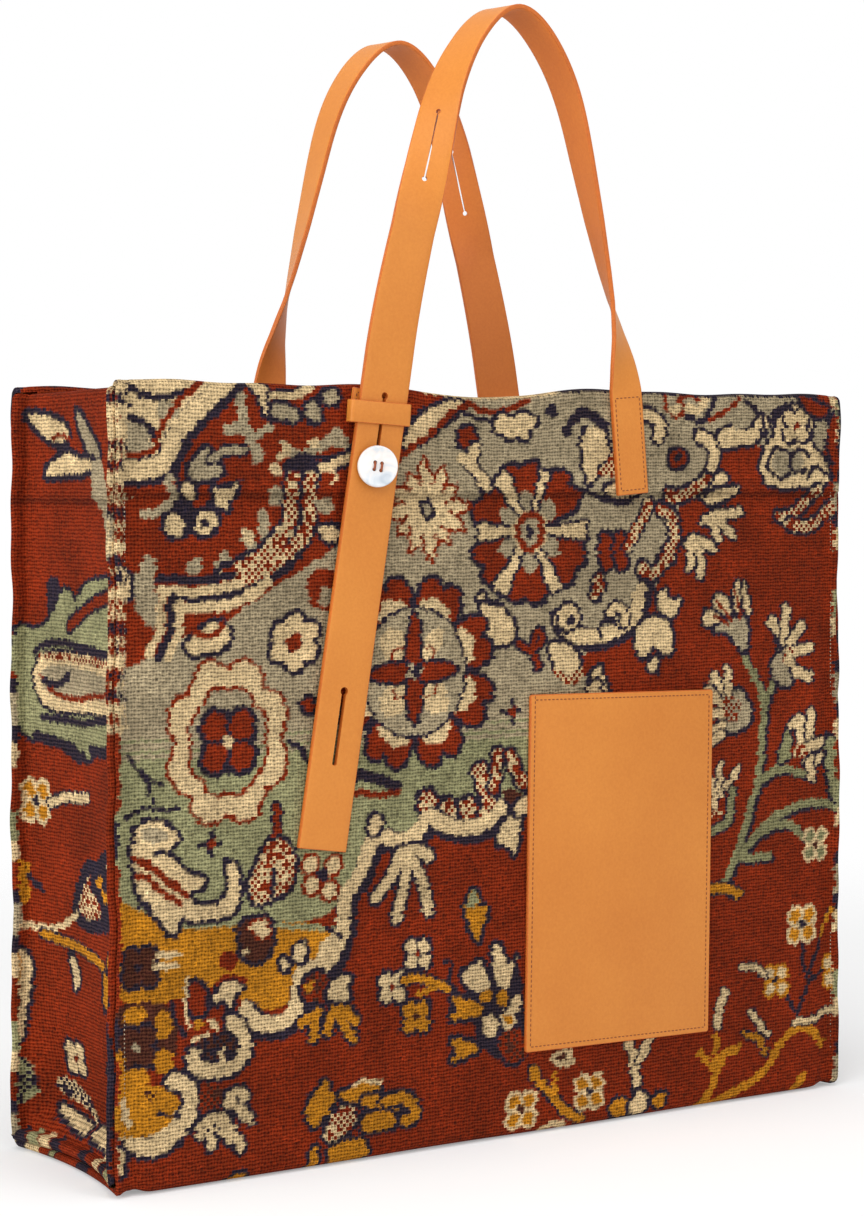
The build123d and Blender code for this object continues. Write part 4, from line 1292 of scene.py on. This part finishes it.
def make_grain():
    """Smooth tanned hide: slow clouds of tone, fine fibres and pores."""
    tones = (("Light", "NodeSocketColor", (1, 1, 1, 1)), ("Dark", "NodeSocketColor", (0, 0, 0, 1)))
    results = (("Color", "NodeSocketColor"), ("Roughness", "NodeSocketFloat"), ("Normal", "NodeSocketVector"))
    group, takes, gives = group_named("tanned hide", tones, results)
    spot_at = paint(group, "Place", "TexCoord")["Object"]
    cloud = paint(group, "Clouds", "TexNoise", spot_at, Scale=14.0, Detail=5.0,
                  Roughness=0.6)["Fac"]
    fibre = paint(group, "Fibres", "TexNoise", spot_at, Scale=700.0, Detail=3.0)["Fac"]
    pores = paint(group, "Pores", "TexVoronoi", spot_at, Scale=1500.0)["Distance"]
    blend = paint(group, "Cloud and fibre", "Mix", 0.35, data_type="FLOAT", A=cloud, B=fibre)[0]
    share = paint(group, "Tone", "MapRange", blend, From_Min=0.32, From_Max=0.68)[0]
    tone = paint(group, "Tan tones", "Mix", share, data_type="RGBA")[2]
    for number, shade in ((6, "Dark"), (7, "Light")):
        group.links.new(takes[shade], tone.node.inputs[number])
    polish = paint(group, "Polish", "MapRange", cloud, To_Min=0.4, To_Max=0.56)[0]
    height = paint(group, "Pore depth", "Math", fibre, 0.5, pores, operation="MULTIPLY_ADD")[0]
    bump = paint(group, "Grain", "Bump", Strength=0.22, Distance=0.0002, Height=height)["Normal"]
    feed(group, gives, Color=tone, Roughness=polish, Normal=bump)
    return group


hide = make_grain()


def make_leather(name, light, dark):
    """Leather in two tones of tan."""
    material, tree, shader = finish_named(name)
    grain = paint(tree, "Hide", "Group", node_tree=hide, Light=(*dye(*light), 1),
                  Dark=(*dye(*dark), 1))
    feed(tree, shader, Base_Color=grain["Color"], Roughness=grain["Roughness"], Normal=grain["Normal"],
         Specular_IOR_Level=0.32)
    return material


tan = make_leather("tan leather", (208, 131, 52), (194, 115, 40))
tan_edge = make_leather("leather edge", (206, 110, 38), (172, 86, 30))
tan_flesh = make_leather("leather flesh side", (212, 122, 49), (196, 104, 40))


def make_solid(piece, *steps):
    """Modifiers put on a piece and applied, each with its settings."""
    select_only(piece)
    for kind, values in steps:
        modifier = piece.modifiers.new(kind.title(), kind)
        for key, value in values.items():
            setattr(modifier, key, value)
        bpy.ops.object.modifier_apply(modifier=modifier.name)


def smooth(piece, angle=40):
    """Smooth shading up to a sharp edge."""
    select_only(piece)
    bpy.ops.object.shade_smooth_by_angle(angle=math.radians(angle))


def joined(name, *pieces):
    """Several new meshes as one object."""
    select_only(*pieces)
    bpy.ops.object.join()
    pieces[0].name = pieces[0].data.name = name
    return pieces[0]


def soft_edge(width, segments=2):
    """Round of a cut leather edge, in the tone of the edge."""
    return "BEVEL", dict(width=width * mm, segments=segments, limit_method="ANGLE",
                         angle_limit=math.radians(60), material=1)


def bar_at(x, y, size):
    """Box with its place and size in millimetres."""
    bpy.ops.mesh.primitive_cube_add(size=mm, location=(x * mm, y * mm, 0))
    bpy.context.object.scale = size
    bpy.ops.object.transform_apply(location=True, rotation=True, scale=True)
    return bpy.context.object


def pin_at(x, y, radius, depth):
    """Round bar with its place and size in millimetres."""
    bpy.ops.mesh.primitive_cylinder_add(vertices=20, radius=radius * mm, depth=depth * mm,
                                        location=(x * mm, y * mm, 0))
    bpy.ops.object.transform_apply(location=True, rotation=True, scale=True)
    return bpy.context.object


front_strap, flat = flat_grid("front_strap_leather", 8, 340)
cover(front_strap, tan, tan_edge, tan_flesh)
run = (flat[:, 1] + 1) / 2 * strap_length
aside = flat[:, 0] * np.interp(run, course_run, course_width) / 2
place_mesh(front_strap, np.stack((aside, run, np.zeros_like(run)), 1))
thickness = dict(thickness=strap_thick * mm, offset=0, material_offset=2, material_offset_rim=1)
make_solid(front_strap, ("SOLIDIFY", thickness), soft_edge(0.45))
slits = []
for number, wide, high_hole in ((-1, 2.5, 4.1), (0, 1.9, 3.6), (1, 0.8, 2.6)):
    low = button_along + number * slit_pitch
    slits.append(bar_at(0, low + slit_length / 2, (wide, slit_length, 12)))
    slits += [pin_at(0, low, slit_hole / 2, 12), pin_at(0, low + slit_length, high_hole / 2, 12)]
slit_cutter = joined("slit_cutter", *slits)
slit_cutter.data.materials.append(tan_edge)
make_solid(front_strap, ("BOOLEAN", dict(object=slit_cutter, operation="DIFFERENCE", solver="EXACT",
                                         use_self=True, material_mode="TRANSFER")))
bpy.data.objects.remove(slit_cutter)
flat = get_points(front_strap)
place_mesh(front_strap, on_strap(flat[:, 0], flat[:, 1], flat[:, 2]))
smooth(front_strap)
back_strap = turned_copy(front_strap, "back_strap_leather")
for strap, node, other in ((front_strap, "front_strap", "front_keeper"),
                           (back_strap, "back_strap", "back_keeper")):
    dress(strap, node)

# Tabs and keepers
# A leather tab is sewn to the carpet under each buttoned leg near the top edge. A narrow band of the same
# leather goes round the strap there and is closed behind it, so that the strap can slide.
tab_size, tab_along = (31.0, 17.0, 1.6), 216.5
tab_seam_inset = 2.2
keeper_outside, keeper_inside = (34.6, 6.0), (31.4, 2.8)
keeper_band, keeper_along, keeper_slant, keeper_shift = 11.0, 214.49, 5.0, 1.3
cloth_front, front_way = -60.0, np.array((0.0, -1.0, 0.0))


def strap_place(run):
    """Frame on the strap's middle: across, out on the grain side, and along."""
    at = on_strap(np.array((0.0, 1.0, 0.0)), np.full(3, run), np.array((0.0, 0.0, 1.0)))
    across, grain = unit(at[1] - at[0]), unit(at[2] - at[0])
    return at[0], across, grain, np.cross(grain, across)


def set_at(piece, origin, x_way, y_way, z_way):
    """Piece moved from its own frame to its place on the bag."""
    turn = np.stack((x_way, y_way, z_way), 1)
    place_mesh(piece, get_points(piece) @ turn.T + origin)


origin, across, grain, along = strap_place(tab_along)
up = unit(np.array((along[0], 0, along[2])))
tab_across = np.cross(up, front_way)
front_tab = bar_at(0, 0, tab_size)
front_tab.name = front_tab.data.name = "front_tab_leather"
cover(front_tab, tan, tan_edge)
make_solid(front_tab, ("BEVEL", dict(width=0.45 * mm, segments=2, material=1)))
tab_middle = np.array((origin[0], cloth_front - tab_size[2] / 2, origin[2]))
set_at(front_tab, tab_middle, tab_across, up, front_way)
smooth(front_tab)

front_keeper = bar_at(0, 0, (*keeper_outside, keeper_band))
keeper_cutter = bar_at(0, 0, (*keeper_inside, keeper_band * 2))
front_keeper.name = front_keeper.data.name = "front_keeper_leather"
for piece, round_off in ((front_keeper, 1.8), (keeper_cutter, 1.0)):
    heights = get_points(piece)[:, 2]
    upright = np.array([abs(heights[edge.vertices[0]] - heights[edge.vertices[1]]) > 1
                        for edge in piece.data.edges])
    weights = piece.data.attributes.new("bevel_weight_edge", "FLOAT", "EDGE")
    weights.data.foreach_set("value", upright.astype(float))
    make_solid(piece, ("BEVEL", dict(width=round_off * mm, segments=5, limit_method="WEIGHT")))
cover(front_keeper, tan, tan_edge)
make_solid(front_keeper, ("BOOLEAN", dict(object=keeper_cutter, operation="DIFFERENCE", solver="EXACT")))
bpy.data.objects.remove(keeper_cutter)
ends = np.empty(len(front_keeper.data.polygons) * 3)
front_keeper.data.polygons.foreach_get("normal", ends)
on_end = np.abs(ends.reshape(-1, 3)[:, 2]) > 0.9
front_keeper.data.polygons.foreach_set("material_index", on_end.astype(int))
make_solid(front_keeper, soft_edge(0.3))
origin, across, grain, along = strap_place(keeper_along)
slant = math.radians(keeper_slant)
cosine, sine = math.cos(slant), math.sin(slant)
across, along = across * cosine + along * sine, along * cosine - across * sine
set_at(front_keeper, origin - across * keeper_shift, across, grain * -1, along)
smooth(front_keeper)
for piece, node in ((front_tab, "front_tab"), (turned_copy(front_tab, "back_tab_leather"), "back_tab")):
    dress(piece, node)
back_keeper = turned_copy(front_keeper, "back_keeper_leather")
for piece, node, strap in ((front_keeper, "front_keeper", "front_strap"),
                           (back_keeper, "back_keeper", "back_strap")):
    dress(piece, node)

# Buttons
# Each button is a disc turned from mother-of-pearl shell with four drilled holes. It stands on a thread
# shank in the lower end of the middle slit, and hangs a little turned to the left.
button_tilt, button_stand = 15.0, 3.2
hole_radius, hole_pitch = 0.95, 3.5
button_profile = ((0, 0), (9.4, 0), (9.9, 0.2), (10.2, 0.7), (10.25, 1.3), (10.15, 1.9), (9.85, 2.3),
                  (9.4, 2.4), (8.8, 2.32), (7.8, 2.1), (6.4, 2.0), (0, 1.95))

profile = bpy.data.meshes.new("front_button_shell")
links = [(k, k + 1) for k in range(len(button_profile) - 1)]
profile.from_pydata([(r * mm, 0, z * mm) for r, z in button_profile], links, [])
front_button = bpy.data.objects.new("front_button_shell", profile)
bpy.context.scene.collection.objects.link(front_button)
make_solid(front_button, ("SCREW", dict(steps=72, render_steps=72, use_merge_vertices=True,
                                        merge_threshold=0.00001, use_normal_calculate=True)),
           ("WELD", dict(merge_threshold=0.00002)))
bpy.ops.object.mode_set(mode="EDIT")
bpy.ops.mesh.select_all(action="SELECT")
bpy.ops.mesh.normals_make_consistent(inside=False)
bpy.ops.object.mode_set(mode="OBJECT")
drills = [pin_at(i * hole_pitch / 2, k * hole_pitch / 2, hole_radius, 20) for i in (-1, 1) for k in (-1, 1)]
drill = joined("drill", *drills)
make_solid(front_button, ("BOOLEAN", dict(object=drill, operation="DIFFERENCE", solver="EXACT")))
bpy.data.objects.remove(drill)

clouds = dict(Scale=70.0, Detail=3.0, Distortion=1.4)
nacre = ((0.25, (176, 186, 196)), (0.42, (206, 210, 214)), (0.56, (226, 220, 215)), (0.74, (234, 234, 230)))
pearl, tree, shader = make_toned("mother of pearl", "TexNoise", clouds, nacre, 0.22, (0.08, 0.0002))
feed(tree, shader, Coat_Weight=0.35, Coat_Roughness=0.08)
front_button.data.materials.append(pearl)

origin, across, grain, along = strap_place(button_along)
tilt = math.radians(button_tilt)
button_out = grain * math.cos(tilt) - across * math.sin(tilt)
button_across = across * math.cos(tilt) + grain * math.sin(tilt)
button_foot = origin + grain * strap_thick / 2 + button_out * button_stand
set_at(front_button, button_foot, button_across, along, button_out)
smooth(front_button, 35)
back_button = turned_copy(front_button, "back_button_shell")
for piece, node in ((front_button, "front_button"), (back_button, "back_button")):
    dress(piece, node)

# Button thread
# Waxed rust thread goes up and down through the holes as two bars, and is wound round under the button
# as its shank, which passes through the slit to the tab.
thread_radius, shank_radius, core_radius, core_length = 0.6, 2.0, 1.1, 8.4


def tube(name, marks, radius, sides=8):
    """Round cord through several places."""
    curve = bpy.data.curves.new(name, "CURVE")
    curve.dimensions = "3D"
    curve.bevel_depth = radius * mm
    curve.bevel_resolution = max(sides // 4 - 1, 0)
    curve.use_fill_caps = True
    course = curve.splines.new("POLY")
    course.points.add(len(marks) - 1)
    for point, mark in zip(course.points, marks):
        point.co = (*(np.array(mark) * mm), 1)
    cord = bpy.data.objects.new(name, curve)
    bpy.context.scene.collection.objects.link(cord)
    select_only(cord)
    bpy.ops.object.convert(target="MESH")
    return bpy.context.object


cords = []
for side in (-1, 1):
    x, y, face = side * hole_pitch / 2, hole_pitch / 2, 2.0
    marks = [(x, -y, -0.4), (x, -y, face), (x, -y * 0.7, face + 0.45), (x, 0, face + 0.6),
             (x, y * 0.7, face + 0.45), (x, y, face), (x, y, -0.4)]
    cords.append(tube("bar", marks, thread_radius))
turns = np.linspace(0, 5 * 2 * math.pi, 90)
wound = [(shank_radius * math.cos(a), shank_radius * math.sin(a), -0.3 - 2.7 * a / turns[-1]) for a in turns]
cords.append(tube("wound", wound, thread_radius))
cords.append(tube("shank", [(0, 0, 0), (0, 0, -core_length)], core_radius, 12))
front_thread = joined("front_button_cord", *cords)
twist = dict(Scale=900.0, Distortion=2.0, bands_direction="DIAGONAL")
thread = make_toned("rust thread", "TexWave", twist, ((0, (112, 50, 20)), (1, (168, 84, 38))), 0.7,
                    (0.5, 0.0002))[0]
front_thread.data.materials.append(thread)
set_at(front_thread, button_foot, button_across, along, button_out)
smooth(front_thread, 50)
back_thread = turned_copy(front_thread, "back_button_cord")
for piece, node in ((front_thread, "front_button_thread"), (back_thread, "back_button_thread")):
    dress(piece, node)

# Pocket
# A flat patch of the strap leather is sewn to the front by one row of stitches on all four sides, and
# hangs a degree askew.
pocket_size, pocket_thick, pocket_middle, pocket_tilt = (118.0, 182.0), 2.0, (69.0, 132.0), 1.0
pocket_corner, pocket_inset = 1.5, 2.7
bpy.ops.object.select_all(action="DESELECT")
bpy.ops.mesh.primitive_plane_add(size=mm)
pocket = bpy.context.object
pocket.name = pocket.data.name = "pocket_leather"
pocket.scale = (*pocket_size, 1)
bpy.ops.object.transform_apply(location=True, rotation=True, scale=True)
cover(pocket, tan, tan_edge)
make_solid(pocket, ("BEVEL", dict(affect="VERTICES", width=pocket_corner * mm, segments=4)),
           ("SOLIDIFY", dict(thickness=pocket_thick * mm, offset=-1, material_offset_rim=1)),
           soft_edge(0.5, 3))
tilt = math.radians(pocket_tilt)
pocket_across = np.array((math.cos(tilt), 0, -math.sin(tilt)))
pocket_up = np.array((math.sin(tilt), 0, math.cos(tilt)))
pocket_face = np.array((pocket_middle[0], cloth_front - pocket_thick, pocket_middle[1]))
set_at(pocket, pocket_face, pocket_across, pocket_up, front_way)
smooth(pocket, 35)
dress(pocket, "pocket")

# Stitching
# Fine rust-brown lockstitches hold the pocket, the strap ends and the tabs. The carpet seams are sewn with
# pale yarn, which shows as dots in the groove beside each fin.
stitch_pitch, stitch_length, stitch_radius = 2.5, 1.7, 0.32
bpy.ops.mesh.primitive_uv_sphere_add(segments=6, ring_count=5, radius=1)
stitch = bpy.context.object
stitch_points = get_points(stitch) * mm
stitch_faces = [tuple(face.vertices) for face in stitch.data.polygons]
bpy.data.objects.remove(stitch)


def sew(name, runs, material, length, radius):
    """Stitches as one mesh, each laid along its run: middle, way and out of the surface."""
    points, faces = [], []
    for middle, way, out in runs:
        frames = np.stack((np.cross(out, way), out, way), 2)
        for centre, turn in zip(middle, frames):
            faces += [tuple(v + len(points) * len(stitch_points) for v in face) for face in stitch_faces]
            points.append(stitch_points * (radius, radius, length / 2) @ turn.T + centre)
    mesh = bpy.data.meshes.new(name)
    mesh.from_pydata((np.vstack(points) * mm).tolist(), [], faces)
    mesh.update()
    row = bpy.data.objects.new(name, mesh)
    bpy.context.scene.collection.objects.link(row)
    mesh.materials.append(material)
    smooth(row, 60)
    return sewn_on(row)


def sewn_on(row):
    """Stitches that hold a piece, as a piece of their own."""
    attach(row, "root")
    return row


def straight_run(start, stop, out, pitch):
    """Stitch middles and ways between two places."""
    start, stop, out = (np.array(v, float) for v in (start, stop, out))
    count = max(round(float(np.linalg.norm(stop - start)) / pitch), 1)
    middle = start + (stop - start) * ((np.arange(count) + 0.5) / count)[:, None]
    return middle, np.repeat(unit(stop - start)[None], count, 0), np.repeat(out[None], count, 0)


def runs_round(middle, across, up, half_width, half_height):
    """Stitches on the four sides of a patch, and its upper left corner."""
    corners = [middle + across * x * half_width + up * y * half_height
               for x, y in ((-1, 1), (1, 1), (1, -1), (-1, -1))]
    runs = [straight_run(corners[k], corners[(k + 1) % 4], front_way, stitch_pitch) for k in range(4)]
    return runs, corners[0]


stitching = make_toned("stitching thread", "TexNoise", dict(Scale=900.0, Detail=2.0),
                       ((0, (86, 38, 14)), (1, (150, 78, 34))), 0.75)[0]
pocket_runs, corner = runs_round(pocket_face, pocket_across, pocket_up, pocket_size[0] / 2 - pocket_inset,
                                 pocket_size[1] / 2 - pocket_inset)
pocket_runs.append(straight_run(corner, corner + pocket_up * pocket_inset, front_way, stitch_pitch))
sew("pocket_stitches", pocket_runs, stitching, stitch_length, stitch_radius)


def strap_run(start, stop):
    """Stitches along the strap's outer side between two places of the flat cut."""
    (a0, r0), (a1, r1) = start, stop
    count = max(round(math.hypot(a1 - a0, r1 - r0) / stitch_pitch), 1)
    share = (np.arange(count) + 0.5) / count
    aside, run = a0 + (a1 - a0) * share, r0 + (r1 - r0) * share
    middle = on_strap(aside, run, np.full(count, strap_thick / 2))
    ahead = on_strap(aside + (a1 - a0) * 0.001, run + (r1 - r0) * 0.001, np.full(count, strap_thick / 2))
    return middle, unit(ahead - middle), np.repeat(front_way[None], count, 0)


sewn_half, sewn_low, sewn_high = strap_widths[2] / 2 - 2.0, strap_length - 2.4, strap_length - 50.5
strap_runs = [strap_run((-sewn_half, run), (sewn_half, run)) for run in (sewn_low, sewn_high)]
strap_runs += [strap_run((aside, sewn_high), (aside, sewn_low)) for aside in (-sewn_half, sewn_half)]
origin, across, grain, along = strap_place(tab_along)
tab_middle = np.array((origin[0], cloth_front - tab_size[2], origin[2]))
tab_runs = runs_round(tab_middle, tab_across, up, tab_size[0] / 2 - tab_seam_inset,
                      tab_size[1] / 2 - tab_seam_inset)[0]
front_stitches = sew("front_handle_stitches", strap_runs + tab_runs, stitching, stitch_length, stitch_radius)
sewn_on(turned_copy(front_stitches, "back_handle_stitches"))

pale_yarn = make_toned("pale seam yarn", "TexNoise", dict(Scale=700.0, Detail=2.0),
                       ((0, (112, 92, 74)), (1, (198, 178, 152))), 0.85)[0]
seam_at, seam_depth, seam_top, seam_foot = 215.2, -57.75, 374, 18
seam_pitch, dot_length, dot_radius = 2.1, 1.0, 0.36
seam_runs = []
for side in (-1, 1):
    ends = [(side * seam_at, seam_depth, height) for height in (seam_top, seam_foot)]
    seam_runs.append(straight_run(*ends, front_way, seam_pitch))
front_seam = sew("front_seam_yarn", seam_runs, pale_yarn, dot_length, dot_radius)
sewn_on(turned_copy(front_seam, "back_seam_yarn"))

# Studio
# A plain white floor and soft light, with the camera where it stood for the photograph: before the
# front's left corner, a little below the bag's top edge.
bpy.ops.mesh.primitive_plane_add(size=12, location=(0, 0, -0.0006))
floor = bpy.context.object
floor.name = "floor"
floor_white, tree, shader = finish_named("floor white")
feed(tree, shader, Base_Color=(0.95, 0.95, 0.95, 1), Roughness=0.9)
spot_at = paint(tree, "Place", "TexCoord")["Object"]
reach = paint(tree, "Reach", "VectorMath", spot_at, operation="LENGTH")["Value"]
fade = paint(tree, "Fade", "MapRange", reach, interpolation_type="SMOOTHSTEP", From_Min=0.35,
             From_Max=1.1)[0]
seen = paint(tree, "Light path", "LightPath")["Is Camera Ray"]
faded = paint(tree, "Fade as seen", "Math", fade, seen, operation="MULTIPLY")[0]
part = paint(tree, "Part as seen", "Math", seen, 0.3, operation="MULTIPLY")[0]
white = paint(tree, "White", "Emission", Strength=1.0)[0]
clear = paint(tree, "Clear", "BsdfTransparent")[0]
soft = paint(tree, "Soft", "MixShader", part, shader.outputs[0], white)[0]
mixed = paint(tree, "Mix", "MixShader", faded, soft, clear)[0]
feed(tree, tree.nodes["Material Output"], Surface=mixed)
floor.data.materials.append(floor_white)

camera_data = bpy.data.cameras.new("camera")
camera_data.lens = 79.2
camera_data.clip_end = 30
camera = bpy.data.objects.new("camera", camera_data)
bpy.context.scene.collection.objects.link(camera)
camera.location = (-0.7645, -1.1822, 0.3314)
camera.rotation_euler = (math.pi / 2, 0, -math.atan2(0.5387, 0.8425))
camera_data.shift_y = -0.102
bpy.context.scene.camera = camera

for name, place, aim, size, power in (
    ("key light", (-2.1, -1.75, 1.6), (0, 0, 0.2), 1.6, 31),
    ("fill light", (0.7, -2.4, 1.3), (0, 0, 0.25), 1.6, 15),
    ("top light", (-0.2, -0.4, 2.4), (0, 0, 0.3), 1.8, 30),
    ("low light", (-1.6, -0.1, 0.22), (-0.2, 0, 0.05), 0.8, 13),
):
    light = bpy.data.lights.new(name, "AREA")
    light.size = size
    light.energy = power
    lamp = bpy.data.objects.new(name, light)
    bpy.context.scene.collection.objects.link(lamp)
    lamp.location = place
    away = np.array(place) - np.array(aim)
    lamp.rotation_euler = (math.acos(away[2] / np.linalg.norm(away)), 0,
                           math.atan2(away[1], away[0]) + math.pi / 2)

world = bpy.context.scene.world or bpy.data.worlds.new("studio")
bpy.context.scene.world = world
world.use_nodes = True
tree = world.node_tree
path = paint(tree, "Light path", "LightPath")
seen = path["Is Camera Ray"]
for way in ("Is Glossy Ray", "Is Transmission Ray"):
    seen = paint(tree, way, "Math", seen, path[way], use_clamp=True)[0]
level = paint(tree, "Level", "MapRange", seen, To_Min=0.4, To_Max=1.0)[0]
feed(tree, tree.nodes["Background"], Color=(1, 1, 1, 1), Strength=level)
bpy.context.scene.view_settings.view_transform = "Standard"
